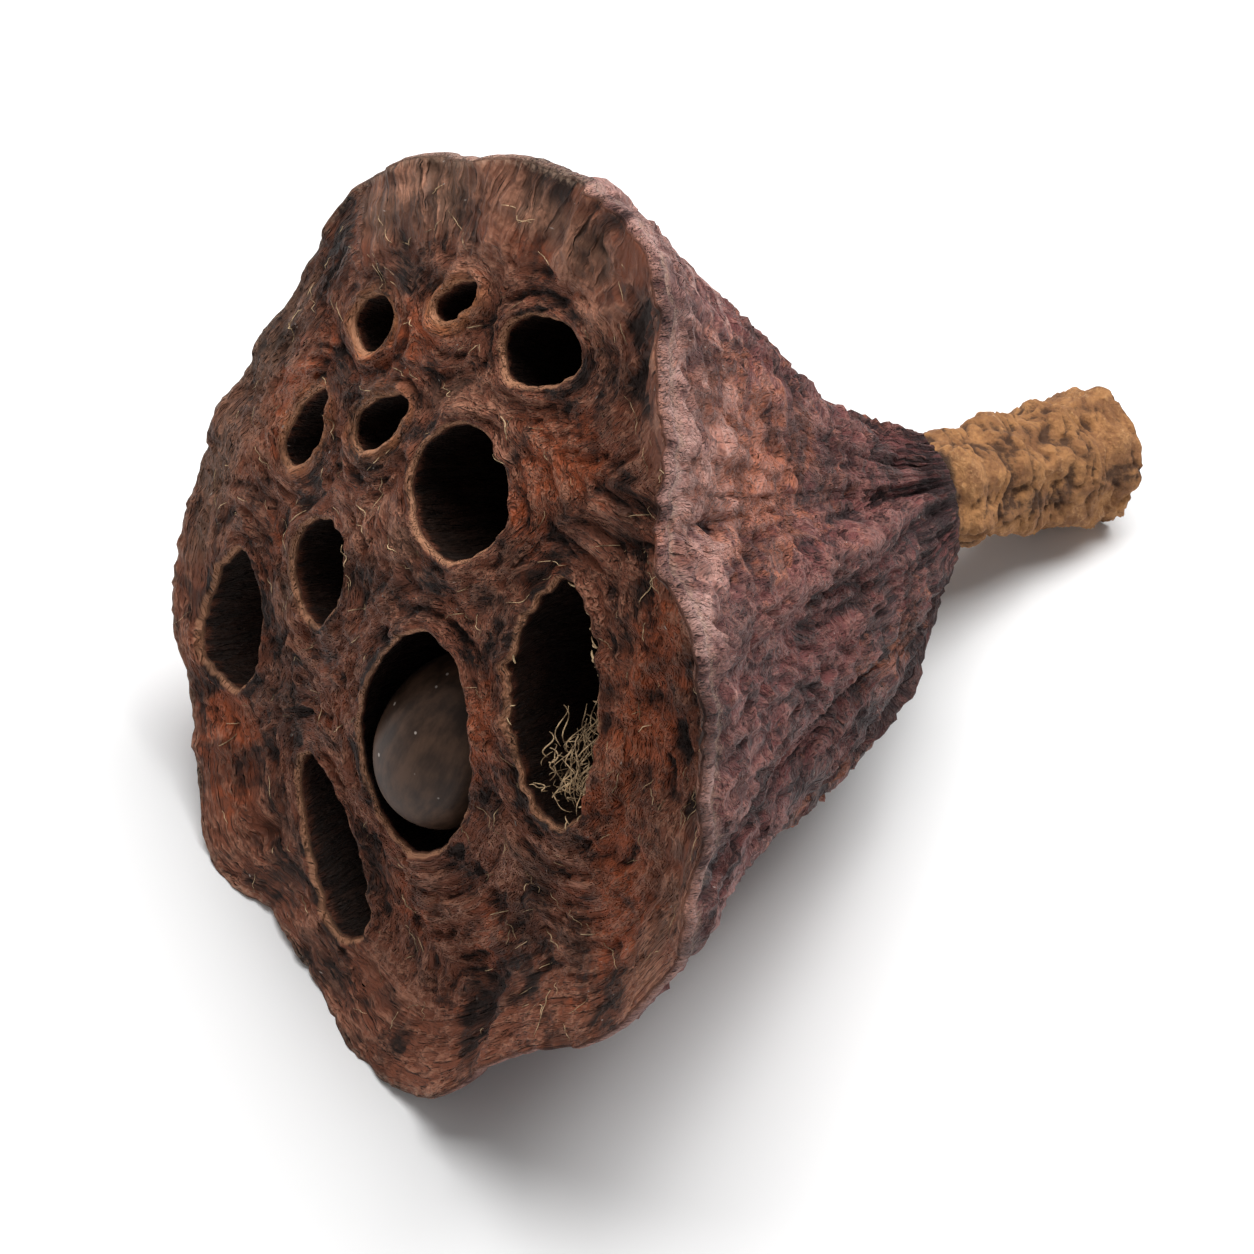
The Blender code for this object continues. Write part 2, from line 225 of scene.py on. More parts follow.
def noise(spots, seed=0):
    """Smooth noise near -1..1: slopes at the corners of unit cells, eased together inside a cell."""
    base = np.floor(spots).astype(np.int64)
    inside = spots - base
    blend = inside**3 * (inside * (inside * 6 - 15) + 10)
    total = np.zeros(len(spots))
    for corner in itertools.product((0, 1), repeat=3):
        weight = np.prod(np.where(corner, blend, 1 - blend), axis=1)
        total += weight * np.sum(cell_directions(base + corner, seed) * (inside - corner), axis=1)
    return total * 1.4


def ridges(spots, seed=0):
    """Sharp crests where the noise crosses zero: 1 on a crest, lower beside it."""
    return 1 - 2.4 * np.abs(noise(spots, seed))


def round_rim(angle, column):
    """A closed smooth curve through one column of RIM: a cubic between each two stations."""
    at = np.radians([row[0] for row in RIM])
    value = np.array([row[column] for row in RIM])
    gap = np.diff(np.append(at, at[0] + 2 * np.pi))
    step = np.roll(value, -1) - value
    slope = (np.roll(step / gap, 1) * gap + step / gap * np.roll(gap, 1)) / (gap + np.roll(gap, 1))
    turned_to = np.mod(angle - at[0], 2 * np.pi) + at[0]
    i = np.clip(np.searchsorted(at, turned_to, side="right") - 1, 0, len(at) - 1)
    j = (i + 1) % len(at)
    x = (turned_to - at[i]) / gap[i]
    along = value[i] + step[i] * ease(x)
    return along + gap[i] * x * (1 - x) * (slope[i] * (1 - x) - slope[j] * x)


def rim_radius(angle):
    """The rim's radius with the crinkles of its dried edge."""
    return round_rim(angle, 1) + 0.20 * (np.sin(17 * angle + 1.3) + 0.6 * np.sin(23 * angle + 0.4))


def round_ring(angle, times, along=0.0):
    """Spots round a tube, so that noise read there closes on itself after one turn."""
    return np.stack([np.cos(angle) * times, np.sin(angle) * times, along + 0 * angle], -1)


def edge_nick(angle):
    """Short crinkles of the rim's edge, in millimetres: noise read on a ring."""
    broad = noise(round_ring(angle, 8.0), 3)
    fine = noise(round_ring(angle, 21.0), 4) * ease(0.4 + noise(round_ring(angle, 3.0), 5))
    return 0.16 * broad + 0.26 * fine


def edge_height(angle):
    """Height of the rim's edge, with the shallow folds of the brim."""
    fold = np.sin(13 * angle + 2.2 * np.sin(2 * angle)) + 0.5 * np.sin(19 * angle + 0.7)
    return round_rim(angle, 2) + 0.24 * fold


def plain_face(u, v):
    """Height of the face: a dome that falls to the moat, then the rise or fall to the rim's edge."""
    angle = np.arctan2(v, u)
    share = np.hypot(u, v) / rim_radius(angle)
    edge, moat = edge_height(angle), round_rim(angle, 3)
    dome = CROWN - (CROWN + moat) * (1 - np.cos(np.pi * np.clip(share / MOAT_AT, 0, 1))) / 2
    rise = np.clip((share - MOAT_AT) / (1 - MOAT_AT), 0, 1.5)
    brim = -moat + (edge + moat) * (0.35 * rise**2 + 0.65 * ease(rise))
    return np.where(share < MOAT_AT, dome, brim)


def mound(u, v, at_u, at_v, long, wide, turn):
    """1 at a spot of the face, falling off like a bell over a turned ellipse."""
    c, s = math.cos(math.radians(turn)), math.sin(math.radians(turn))
    along = (u - at_u) * c + (v - at_v) * s
    across = -(u - at_u) * s + (v - at_v) * c
    return np.exp(-((along / long) ** 2) - (across / wide) ** 2)


# Dents and swellings of the face: centre u and v, length, width, direction, and height.
FACE_FORMS = (
    (13.5, 22.0, 5.5, 2.8, 100, -1.3),
    (19.0, 24.5, 7.0, 1.6, 95, 0.7),
    (-8.6, 6.0, 4.5, 0.9, 75, -0.9),
    (-7.4, 18.6, 4.5, 0.9, 60, -0.6),
    (-11.0, 16.6, 5.0, 0.8, 62, 0.5),
    (-7.2, 11.0, 5.0, 1.0, 80, 0.6),
    (21.5, -23.5, 4.5, 1.6, -45, 1.3),
    (16.0, -23.0, 4.0, 1.8, -60, -0.9),
    (-8.5, -31.5, 2.2, 1.2, 60, -1.2),
    (20.0, 6.0, 15.0, 1.2, 100, -0.5),
    (8.0, -18.0, 4.5, 1.3, 110, 0.5),
    (-6.5, -13.0, 7.0, 1.1, 100, 0.5),
    (-16.5, -7.0, 5.0, 1.0, 95, 0.5),
    (8.8, 3.5, 6.0, 1.0, 110, 0.5),
)


def mouth_ring(mouth, count, ragged=1.0):
    """Evenly spaced points round a mouth's edge, anticlockwise, and the way out at each.

    The edge is a superellipse, narrowed along its length, with a few waves of seeded phase. Noise
    read on a ring then moves it in and out, times ragged.
    """
    centre_u, centre_v, half_long, half_wide, turn, taper, square = MOUTHS[mouth][:7]
    t = np.linspace(0, 2 * np.pi, 720, endpoint=False)
    c, s = np.cos(t), np.sin(t)
    along = half_long * np.sign(c) * np.abs(c) ** (2 / square)
    across = half_wide * np.sign(s) * np.abs(s) ** (2 / square) * (1 - taper * along / half_long)
    phases = np.random.default_rng(list(MOUTHS).index(mouth)).uniform(0, 2 * np.pi, 4)
    wave = sum(np.sin(k * t + p) / k for k, p in zip((3, 5, 9, 14), phases))
    swell = 1 + 0.22 * wave / (half_wide + 2)
    turn = math.radians(turn)
    points = np.stack(
        [
            centre_u + (along * math.cos(turn) - across * math.sin(turn)) * swell,
            centre_v + (along * math.sin(turn) + across * math.cos(turn)) * swell,
        ],
        -1,
    )
    closed = np.vstack([points, points[:1]])
    length = np.append(0, np.cumsum(np.hypot(*np.diff(closed, axis=0).T)))
    marks = np.linspace(0, length[-1], count, endpoint=False)
    even = np.stack([np.interp(marks, length, closed[:, k]) for k in (0, 1)], -1)
    spin = np.linspace(0, 2 * np.pi, count, endpoint=False)
    seed = 70 + list(MOUTHS).index(mouth)
    tear = noise(round_ring(spin, length[-1] / 9), seed)
    tear = tear + 0.6 * noise(round_ring(spin, length[-1] / 4), seed)
    even = even + way_out(even) * (ragged * RAGGED.get(mouth, RAGGED_ELSEWHERE) * tear)[:, None]
    return even, way_out(even)


def way_out(ring):
    """Unit vectors out of a closed ring of points that runs anticlockwise."""
    tangent = np.roll(ring, -1, 0) - np.roll(ring, 1, 0)
    tangent /= np.hypot(*tangent.T)[:, None]
    return np.stack([tangent[:, 1], -tangent[:, 0]], -1)


def mouth_gap(points, ring):
    """Distance from each point to a closed ring of points, less than 0 inside it."""
    start, step = ring, np.roll(ring, -1, 0) - ring
    best = np.full(len(points), np.inf)
    inside = np.zeros(len(points), bool)
    for (x, y), (dx, dy) in zip(start, step):
        px, py = points[:, 0] - x, points[:, 1] - y
        share = np.clip((px * dx + py * dy) / (dx * dx + dy * dy), 0, 1)
        best = np.minimum(best, (px - share * dx) ** 2 + (py - share * dy) ** 2)
        if dy:
            crosses = ((py >= 0) != (py - dy >= 0)) & (px < py * dx / dy)
            inside ^= crosses
    return np.sqrt(best) * np.where(inside, -1, 1)


def all_gaps(points, rings):
    """The gap from each point to every mouth's edge, one column for each mouth."""
    return np.stack([mouth_gap(points, ring) for ring in rings.values()], -1)


def lip_height(gap):
    """A lip's height over the face: a rounded crest 0.3 mm out from the edge and a long fall."""
    near = 1 - 0.5 * (1 - np.clip(gap, 0, 0.3) / 0.3) ** 2
    fall = 0.75 * np.exp(-(((gap - 0.3) / 0.55) ** 2)) + 0.25 * np.exp(-gap / 1.6)
    return np.where(gap < 0.3, near, fall)


def face_surface(points, rings, settings):
    """Height of the fine face at each point, and what its material reads there.

    The height is the plain face, plus its dents and swellings, a lip round each mouth, and wrinkles.
    Between the mouths they run round them: noise that varies fast across the gap to the nearest
    mouth and slowly along it. On the brim they run along the rim, and at its top out across it:
    noise read on a ring. A slow noise pushes the spots first, so that no line stays even.
    """
    u, v = points.T
    angle = np.arctan2(v, u)
    share = np.hypot(u, v) / rim_radius(angle)
    gaps = all_gaps(points, rings)
    gap = gaps.min(1)
    forms = sum(high * mound(u, v, *where) for *where, high in FACE_FORMS)
    spot = np.stack([u, v, 0 * u], -1)
    warp = np.stack([noise(spot / 4.5, 8), noise(spot / 4.5, 9), 0 * u], -1)
    brim = ease((share - 0.72) / 0.16)
    topward = ease((np.sin(angle + 0.15) - 0.35) / 0.35)
    rightward = ease((np.cos(angle - 0.35) - 0.1) / 0.4)
    flow = np.stack([u, v, 3.4 * gap], -1) + 1.6 * warp
    around = round_ring(angle, 5.0, share * 26) + 0.35 * warp
    outward = round_ring(angle, 15.0, share * 3.0) + 0.5 * warp
    mid = 0.34 * ridges(flow / 4.4, 11) + 0.40 * noise(flow / 3.4, 19)
    fine = 0.20 * ridges(flow / 1.9, 12)
    rim_mid = 0.22 * ridges(around, 13) + 0.12 * ridges(around * 2.1, 14)
    top_mid = 0.34 * ridges(outward, 15) + 0.30 * noise(outward * 0.6, 10)
    rim_mid = rim_mid * (1 - topward) + top_mid * topward
    relief = (mid + fine) * (1 - 0.75 * brim) + rim_mid * brim + 0.55 * noise(spot / 7.0, 16)
    relief = relief + 0.12 * ridges(spot / 1.2 + warp, 17)
    relief = relief * settings.wrinkle_depth * (0.3 + 0.7 * ease(gap / 0.8))
    crest = 0.8 + 0.35 * noise(spot / 2.2, 18)
    lip = settings.lip_height * crest * lip_height(gap)
    height = plain_face(u, v) + forms + lip + relief
    facts = {
        "relief": relief / 0.45 + 0.5 * forms,
        "lip": np.exp(-((gap / 0.42) ** 2)),
        "collar": np.exp(-np.maximum(gap, 0) / 1.6) * patches(u, v, COLLAR_PATCHES),
        "rust": patches(u, v, RUST_PATCHES),
        "ash": patches(u, v, ASH_PATCHES),
        # A painted highlight along the rim's edge, weaker on the right where the rim meets the funnel.
        "edge": ease((share - 0.955) / 0.045) * (1 - 0.75 * rightward),
        "down": 0 * u,
        "shade": 0 * u,
        "funnel": 0 * u,
        "hollow": 0 * u,
        "flow": flow / 2.6,
        "fan": np.where((topward > 0.5)[:, None], outward, around * 1.3),
        "fan_share": brim,
    }
    return height, facts


def patches(u, v, table):
    """The strongest of a few soft patches of colour on the face."""
    return np.max([strength * mound(u, v, *where) for *where, strength in table], axis=0)


# Rust-red and ash-grey patches of the face: centre u and v, length, width, direction and strength.
RUST_PATCHES = (
    (19.5, 8.0, 17.0, 3.4, 100, 1.0),
    (24.0, -6.0, 9.0, 3.0, 100, 0.9),
    (-14.0, 17.0, 10.0, 2.6, 62, 0.8),
    (-22.5, 3.0, 9.0, 2.2, 82, 0.9),
    (-12.5, 9.5, 4.5, 2.6, 65, 0.6),
    (-17.0, -9.0, 7.0, 2.0, 95, 0.6),
    (3.5, 20.0, 5.5, 4.0, 80, 0.9),
    (6.0, 14.0, 4.0, 3.0, 90, 0.6),
    (9.0, -1.0, 8.0, 1.6, 105, 0.8),
    (-6.0, 30.5, 8.0, 3.0, 10, 0.5),
    (-15.5, -28.0, 6.0, 4.0, 130, 0.8),
    (7.0, -22.0, 5.0, 3.0, 110, 0.7),
    (16.0, -19.0, 7.0, 3.0, 110, 0.7),
    (-4.5, -14.0, 9.0, 1.8, 95, 0.5),
)
ASH_PATCHES = (
    (-27.0, 4.0, 14.0, 3.4, 86, 0.9),
    (-27.0, -9.0, 12.0, 3.0, 100, 0.8),
    (-19.0, 26.0, 10.0, 4.0, 45, 0.9),
    (-7.0, 34.5, 9.0, 3.5, 5, 0.8),
    (-16.0, -10.0, 9.0, 3.2, 100, 0.6),
    (-3.5, 3.0, 7.0, 3.5, 90, 0.5),
    (-13.0, -20.0, 6.0, 3.0, 110, 0.5),
    (27.0, 14.0, 14.0, 2.4, 105, 0.55),
    (28.5, -8.0, 14.0, 2.2, 88, 0.5),
    (-8.0, 17.0, 5.0, 2.0, 60, 0.5),
)


def edge_flow(spots):
    """What the material's streaks read on the rim's edge: the spots, pushed by slow noise."""
    return (spots + 2.0 * noise(spots / 6.0, 21)[:, None]) / STREAK_SHAPE


def funnel_base(angle, down, rim_r, rim_h):
    """The funnel's skin without wrinkles; down is 0 under the rim and 1 at the stalk.

    The radius runs from the rim's to the stalk's, drawn in a little near the rim. Half a sine wave
    down the funnel, times down squared, swells it on one side and draws it in on the other, and
    a few pleats run down it. The height starts under the rim's edge, whose folds fade with the
    square of what is left of the way, and falls evenly.
    """
    taper = (1 - down) * (1 - WAIST * np.sin(np.pi * np.minimum(down * 1.6, 1)))
    swell = (SHOULDER - BOW * np.cos(angle - BOW_FROM)) * np.sin(np.pi * down) * down**2
    pleat = np.sin(13 * angle + 2.2 * np.sin(2 * angle) + 3 * down)
    radius = FUNNEL_END_R + (rim_r - FUNNEL_END_R) * taper + swell
    radius = radius + 0.45 * pleat * np.sin(np.pi * np.clip(down * 1.08, 0, 1)) ** 0.7
    height = (rim_h - EDGE_THICK) * (1 - down) ** 2 - FUNNEL_DEEP * down
    u = radius * np.cos(angle) + FUNNEL_END[0] * down
    v = radius * np.sin(angle) + FUNNEL_END[1] * down
    return np.stack([u, v, height], -1)


# Warm patches of the funnel: angle and half-width in radians, depth, half-depth and strength.
FLUSH_PATCHES = (
    (1.15, 0.34, 0.22, 0.34, 1.1),
    (2.3, 0.7, 0.45, 0.5, 0.95),
    (-0.55, 0.34, 0.52, 0.24, 1.0),
    (0.25, 0.2, 0.72, 0.2, 0.7),
)
# Orange-tan collars round the smaller mouths: centre u and v, length, width, direction, strength.
COLLAR_PATCHES = (
    (-17.4, 15.2, 5.0, 4.0, 71, 0.9),
    (-11.2, 22.5, 5.0, 3.5, 63, 1.0),
    (-19.7, 2.2, 7.0, 4.5, 80, 0.9),
    (-12.3, 9.4, 6.0, 4.5, 65, 1.0),
    (-11.7, -8.0, 4.0, 4.5, 81, 0.5),
    (-2.4, 25.8, 5.0, 4.0, 43, 0.5),
    (13.0, 4.8, 11.0, 5.0, 113, 0.35),
)


def flush(angle, down):
    """Warm flush of the funnel: near the rim on top, across the back, low and near the stalk on the right.

    Each patch is exp(-(turn / wide)^2 - ((down - centre) / deep)^2), the turn taken the short way.
    """
    share = np.zeros_like(angle)
    for centre, wide, low, deep, strength in FLUSH_PATCHES:
        turn = (angle - centre + np.pi) % (2 * np.pi) - np.pi
        share = np.maximum(share, strength * np.exp(-((turn / wide) ** 2) - ((down - low) / deep) ** 2))
    return share


def funnel_surface(rim_points, settings):
    """The fine skin of the funnel on a grid of angle and depth, and what its material reads.

    The base is pushed along its normal by broad folds and fine wrinkles that run to the stalk
    (noise read on a ring, so that they draw together as the funnel narrows), and by a net of
    swirled wrinkles (crests of noise in space, read where a slower noise has pushed the spot).
    """
    angle = np.arctan2(rim_points[:, 1], rim_points[:, 0])
    rim_r = np.hypot(rim_points[:, 0], rim_points[:, 1])
    down = np.arange(FUNNEL_ROWS) / (FUNNEL_ROWS - 1)
    down = 0.06 * down + 0.94 * down**1.08
    angles, downs = np.meshgrid(angle, down)
    shape = angles.shape
    base = funnel_base(angles, downs, rim_r[None, :], rim_points[None, :, 2])
    round_way = np.roll(base, -1, 1) - np.roll(base, 1, 1)
    down_way = np.gradient(base, axis=0)
    normal = np.cross(down_way, round_way)
    normal /= np.linalg.norm(normal, axis=-1, keepdims=True)
    spot = base.reshape(-1, 3)
    a, d = angles.ravel(), downs.ravel()
    warp = np.stack([noise(spot / 6.0, 21), noise(spot / 6.0, 22), noise(spot / 6.0, 23)], -1)
    swirl = ridges((spot + 4.2 * warp) / np.array([1.7, 1.7, 4.6]), 24)
    tiny = ridges((spot + 2.4 * warp) / np.array([0.95, 0.95, 2.2]), 25)
    broad = noise(round_ring(a, 3.6, d * 1.3), 26)
    folds = noise(round_ring(a, 9.0, d * 2.2), 27)
    wrinkles = ridges(round_ring(a, 15.0, d * 4.5), 28)
    foot = ease((d - 0.72) / 0.22)
    relief = 0.85 * folds * (0.5 + 0.5 * d) + 0.40 * swirl * (1 - 0.5 * foot) + 0.16 * tiny
    relief = relief + 0.40 * wrinkles * (0.6 + 0.3 * foot) + 0.8 * foot * noise(round_ring(a, 4.5), 29)
    fade = ease(d / 0.035) * (1 - 0.75 * ease((d - 0.93) / 0.07))
    push = (0.9 * broad * np.sin(np.pi * d) + relief * settings.wrinkle_depth) * fade
    points = spot + normal.reshape(-1, 3) * push[:, None]
    one = np.ones_like(a)
    facts = {
        "relief": relief / RELIEF_SPAN,
        "lip": 0 * one,
        "collar": 0 * one,
        "rust": flush(a, d),
        "ash": 0 * one,
        # The painted highlight of the rim's edge runs onto the top of the funnel.
        "edge": 1 - ease(d / 0.05),
        "down": d,
        # Painted shade on the funnel's lower right side.
        "shade": 0.45 * ease((np.cos(a + 0.35) - 0.2) / 0.8),
        "funnel": one,
        "hollow": 0 * one,
        "flow": (spot + 4.2 * warp) / STREAK_SHAPE,
        "fan": round_ring(a, 24.0, d * 9.0) + 0.8 * warp,
        "fan_share": 0.45 + 0.55 * foot,
    }
    return points.reshape(*shape, 3), facts


def pit_surface(mouth, ring, edge_heights):
    """The wall of a seed pit: the mouth's edge carried down the pit's profile to its floor.

    Each row is the edge drawn towards the pit's centre by the profile's width, less ragged with
    depth. The centre leans towards the stalk. Fibres run down the wall: noise that varies fast
    round it and slowly down it.
    """
    centre = np.array(MOUTHS[mouth][:2])
    deep, belly = MOUTHS[mouth][7], MOUTHS[mouth][8] - 1
    rows = np.linspace(0, 1, PIT_ROWS + 1)[1:] ** 1.25
    wide = np.interp(rows, PIT_PROFILE[:, 0], PIT_PROFILE[:, 1])
    share = np.interp(rows, PIT_PROFILE[:, 0], PIT_PROFILE[:, 2])
    wide = wide + belly * share - 0.03 * np.exp(-((rows / 0.05) ** 2))
    ground = float(plain_face(*centre[:, None])[0])
    slide = np.array(BELLY_SLIDE.get(mouth, (0, 0)))
    smooth = mouth_ring(mouth, len(ring), 0.0)[0]
    spin = np.linspace(0, 2 * np.pi, len(ring), endpoint=False)
    points, depth, spins = [], [], []
    for row, width, part in zip(rows, wide, share):
        shrink = 1 - PIT_LEAN * deep * row / FUNNEL_DEEP
        fibre = 1 + 0.035 * noise(round_ring(spin, 5.0, row * 1.5), 41) * ease(row / 0.1)
        edge = smooth + (ring - smooth) * math.exp(-deep * row / 1.2)
        flat = centre * shrink + (edge - centre) * width * fibre[:, None] + slide * part
        follow = ease((0.7 - row) / 0.5)
        high = ground - deep * row + (edge_heights - ground) * follow
        points.append(np.column_stack([flat, high]))
        depth.append(np.full(len(ring), row))
        spins.append(spin)
    return np.array(points), np.array(depth), np.array(spins)


# Meshes.


def grid_faces(first, rows, columns):
    """Quads of a grid of vertices that closes on itself along its rows, numbered from first."""
    row, column = np.meshgrid(np.arange(rows - 1), np.arange(columns), indexing="ij")
    after = (column + 1) % columns
    a, b = first + row * columns + column, first + row * columns + after
    return np.stack([a, b, b + columns, a + columns], -1).reshape(-1, 4)


def band_faces(upper, lower):
    """Quads between two closed rings of vertex numbers of the same length."""
    return np.stack([upper, np.roll(upper, -1), np.roll(lower, -1), lower], -1)


def fan_faces(ring, pole):
    """Triangles from a closed ring of vertex numbers to one more vertex."""
    return np.stack([ring, np.roll(ring, -1), np.full(len(ring), pole)], -1)


def new_piece(name, points, face_lists, facts=None):
    """A smooth mesh object of points in the row frame, with one attribute for each fact."""
    mesh = bpy.data.meshes.new(name)
    faces = [face for block in face_lists for face in block.tolist()]
    mesh.from_pydata(points.tolist(), [], faces)
    for key, values in (facts or {}).items():
        values = np.asarray(values, np.float32)
        kind = "FLOAT_VECTOR" if values.ndim == 2 else "FLOAT"
        field = "vector" if values.ndim == 2 else "value"
        mesh.attributes.new(key, kind, "POINT").data.foreach_set(field, values.ravel())
    mesh.shade_smooth()
    mesh.validate()
    mesh.update()
    piece = bpy.data.objects.new(name, mesh)
    bpy.context.scene.collection.objects.link(piece)
    return piece


def face_points(rings, ways):
    """The face's flat points: the rim, rings inside it, rings round the mouths and a grid between.

    The rim comes first and each mouth's edge after it.
    """
    angle = np.linspace(0, 2 * np.pi, RIM_COLUMNS, endpoint=False)
    way = np.stack([np.cos(angle), np.sin(angle)], -1)
    rim = way * (rim_radius(angle) + edge_nick(angle))[:, None]
    loose = [rim * share for share in BRIM_RINGS]
    reach = np.arange(-40, 40, GRID_STEP)
    columns, rows = np.meshgrid(reach, np.arange(-40, 40, GRID_STEP * math.sqrt(3) / 2))
    columns = columns + GRID_STEP / 2 * (np.arange(len(rows)) % 2)[:, None]
    grid = np.stack([columns.ravel(), rows.ravel()], -1)
    grid_share = np.hypot(*grid.T) / rim_radius(np.arctan2(grid[:, 1], grid[:, 0]))
    grid = grid[grid_share < BRIM_RINGS[-1] - 0.012]
    between = np.vstack([*loose, grid])
    between = between[all_gaps(between, rings).min(1) > MOUTH_RINGS[-1] + 0.22]
    collars = []
    for index, mouth in enumerate(MOUTHS):
        for offset in MOUTH_RINGS[1:]:
            ring = rings[mouth] + ways[mouth] * offset
            others = np.delete(all_gaps(ring, rings), index, axis=1).min(1)
            own = mouth_gap(ring, rings[mouth])
            share = np.hypot(*ring.T) / rim_radius(np.arctan2(ring[:, 1], ring[:, 0]))
            keep = (others > offset + 0.12) & (own > offset - 0.06) & (share < 0.985)
            collars.append(ring[keep])
    return np.vstack([rim, *rings.values(), *collars, between])


def inside_ring(points, ring):
    """Whether each point lies inside a closed ring: its gap to the ring is less than 0."""
    return mouth_gap(points, ring) < 0


def face_triangles(points, rings):
    """Triangles between the face's points, keeping the rim and every mouth's edge as edges.

    A Delaunay net joins the points. Its triangles outside the rim or inside a mouth are dropped,
    and those that run clockwise are turned round.
    """
    edges, first = [], 0
    for size in (RIM_COLUMNS, *(len(ring) for ring in rings.values())):
        number = np.arange(size)
        edges += np.stack([first + number, first + (number + 1) % size], -1).tolist()
        first += size
    flat = [Vector(point) for point in points.tolist()]
    found, _, faces, origin, _, _ = delaunay_2d_cdt(flat, edges, [], 0, 1e-6, True)
    if len(found) != len(points):
        raise RuntimeError("the face's points run into each other")
    number = np.array([source[0] for source in origin])
    triangles = number[np.array(faces)]
    middle = points[triangles].mean(1)
    keep = inside_ring(middle, points[:RIM_COLUMNS])
    for ring in rings.values():
        keep &= ~inside_ring(middle, ring)
    triangles = triangles[keep]
    a, b, c = (points[triangles[:, k]] for k in range(3))
    area = (b - a)[:, 0] * (c - a)[:, 1] - (b - a)[:, 1] * (c - a)[:, 0]
    triangles[area < 0] = triangles[area < 0][:, ::-1]
    return triangles


def receptacle_mesh(settings):
    """The receptacle's points, faces and facts: face, pits, rim edge and funnel as one closed skin.

    The face's first ring is the rim. Rows of the same number of points carry it over a half-round
    edge and down the funnel into the stalk's socket, which a fan closes. Each mouth's edge goes down
    its pit in the same way.
    """
    rings, ways = {}, {}
    for mouth, row in MOUTHS.items():
        about = math.pi * (row[2] + row[3]) * 1.05
        rings[mouth], ways[mouth] = mouth_ring(mouth, 2 * round(about / MOUTH_STEP / 2))
    flat = face_points(rings, ways)
    triangles = face_triangles(flat, rings)
    high, facts = face_surface(flat, rings, settings)
    points = [np.column_stack([flat, high])]
    all_facts = [facts]
    faces = [triangles]
    total = len(flat)

    rim = points[0][:RIM_COLUMNS]
    funnel, funnel_facts = funnel_surface(rim, settings)
    over = np.linspace(0, np.pi, 6)[1:-1]
    out_way = np.column_stack([rim[:, :2] / np.hypot(*rim[:, :2].T)[:, None], 0 * rim[:, 0]])
    edge_rows = [
        rim + 0.30 * math.sin(turn) * out_way - np.array([0, 0, 0.5 * EDGE_THICK * (1 - math.cos(turn))])
        for turn in over
    ]
    edge_facts = {key: np.concatenate([value[:RIM_COLUMNS]] * len(over)) for key, value in facts.items()}
    edge_facts["funnel"] = np.repeat(np.linspace(0.35, 0.95, len(over)), RIM_COLUMNS)
    edge_facts["flow"] = edge_facts["fan"] = np.vstack([edge_flow(row) for row in edge_rows])
    end = funnel[-1]
    end_centre = np.array([*FUNNEL_END, -FUNNEL_DEEP])
    socket = end_centre + (end - end_centre) * np.array([SOCKET_SHARE, SOCKET_SHARE, 1])
    inner = socket + np.array([0, 0, SOCKET_DEEP])
    floor = end_centre + np.array([0, 0, SOCKET_DEEP])
    skin = np.vstack([*edge_rows, funnel.reshape(-1, 3), socket, inner, [floor]])
    skin_facts = {}
    for key, value in funnel_facts.items():
        tail = [value[-RIM_COLUMNS:]] * 2 + [value[-1:]]
        skin_facts[key] = np.concatenate([edge_facts[key], value, *tail])
    points.append(skin)
    all_facts.append(skin_facts)
    rim_numbers = np.arange(RIM_COLUMNS)
    rows = len(over) + FUNNEL_ROWS + 2
    faces.append(band_faces(rim_numbers, rim_numbers + total)[:, ::-1])
    faces.append(grid_faces(total, rows, RIM_COLUMNS)[:, ::-1])
    last = total + (rows - 1) * RIM_COLUMNS
    faces.append(fan_faces(last + rim_numbers, last + RIM_COLUMNS)[:, ::-1])
    total += len(skin)

    first = RIM_COLUMNS
    for mouth, ring in rings.items():
        size = len(ring)
        edge = points[0][first : first + size, 2]
        wall, depth, spin = pit_surface(mouth, ring, edge)
        pole = wall[-1].mean(0) - np.array([0, 0, 0.02])
        points.append(np.vstack([wall.reshape(-1, 3), [pole]]))
        count = wall[..., 0].size
        deep = np.append(depth.ravel(), 1)
        blank = np.zeros(count + 1)
        turns = np.append(spin.ravel(), 0)
        pit_facts = {key: blank for key in facts if key not in ("flow", "fan")}
        # Painted shade: the pits go dark with depth.
        pit_facts["hollow"] = ease((deep * MOUTHS[mouth][7] + 0.3) / 2.0)
        pit_facts["lip"] = np.exp(-((deep * MOUTHS[mouth][7] / 0.35) ** 2))
        pit_facts["flow"] = pit_facts["fan"] = round_ring(turns, size / 11, deep * 3.5)
        all_facts.append(pit_facts)
        faces.append(band_faces(np.arange(first, first + size), total + np.arange(size)))
        faces.append(grid_faces(total, PIT_ROWS, size))
        last = total + (PIT_ROWS - 1) * size
        faces.append(fan_faces(last + np.arange(size), total + count))
        total += count + 1
        first += size
    merged = {key: np.concatenate([facts[key] for facts in all_facts]) for key in facts}
    return np.vstack(points), faces, merged


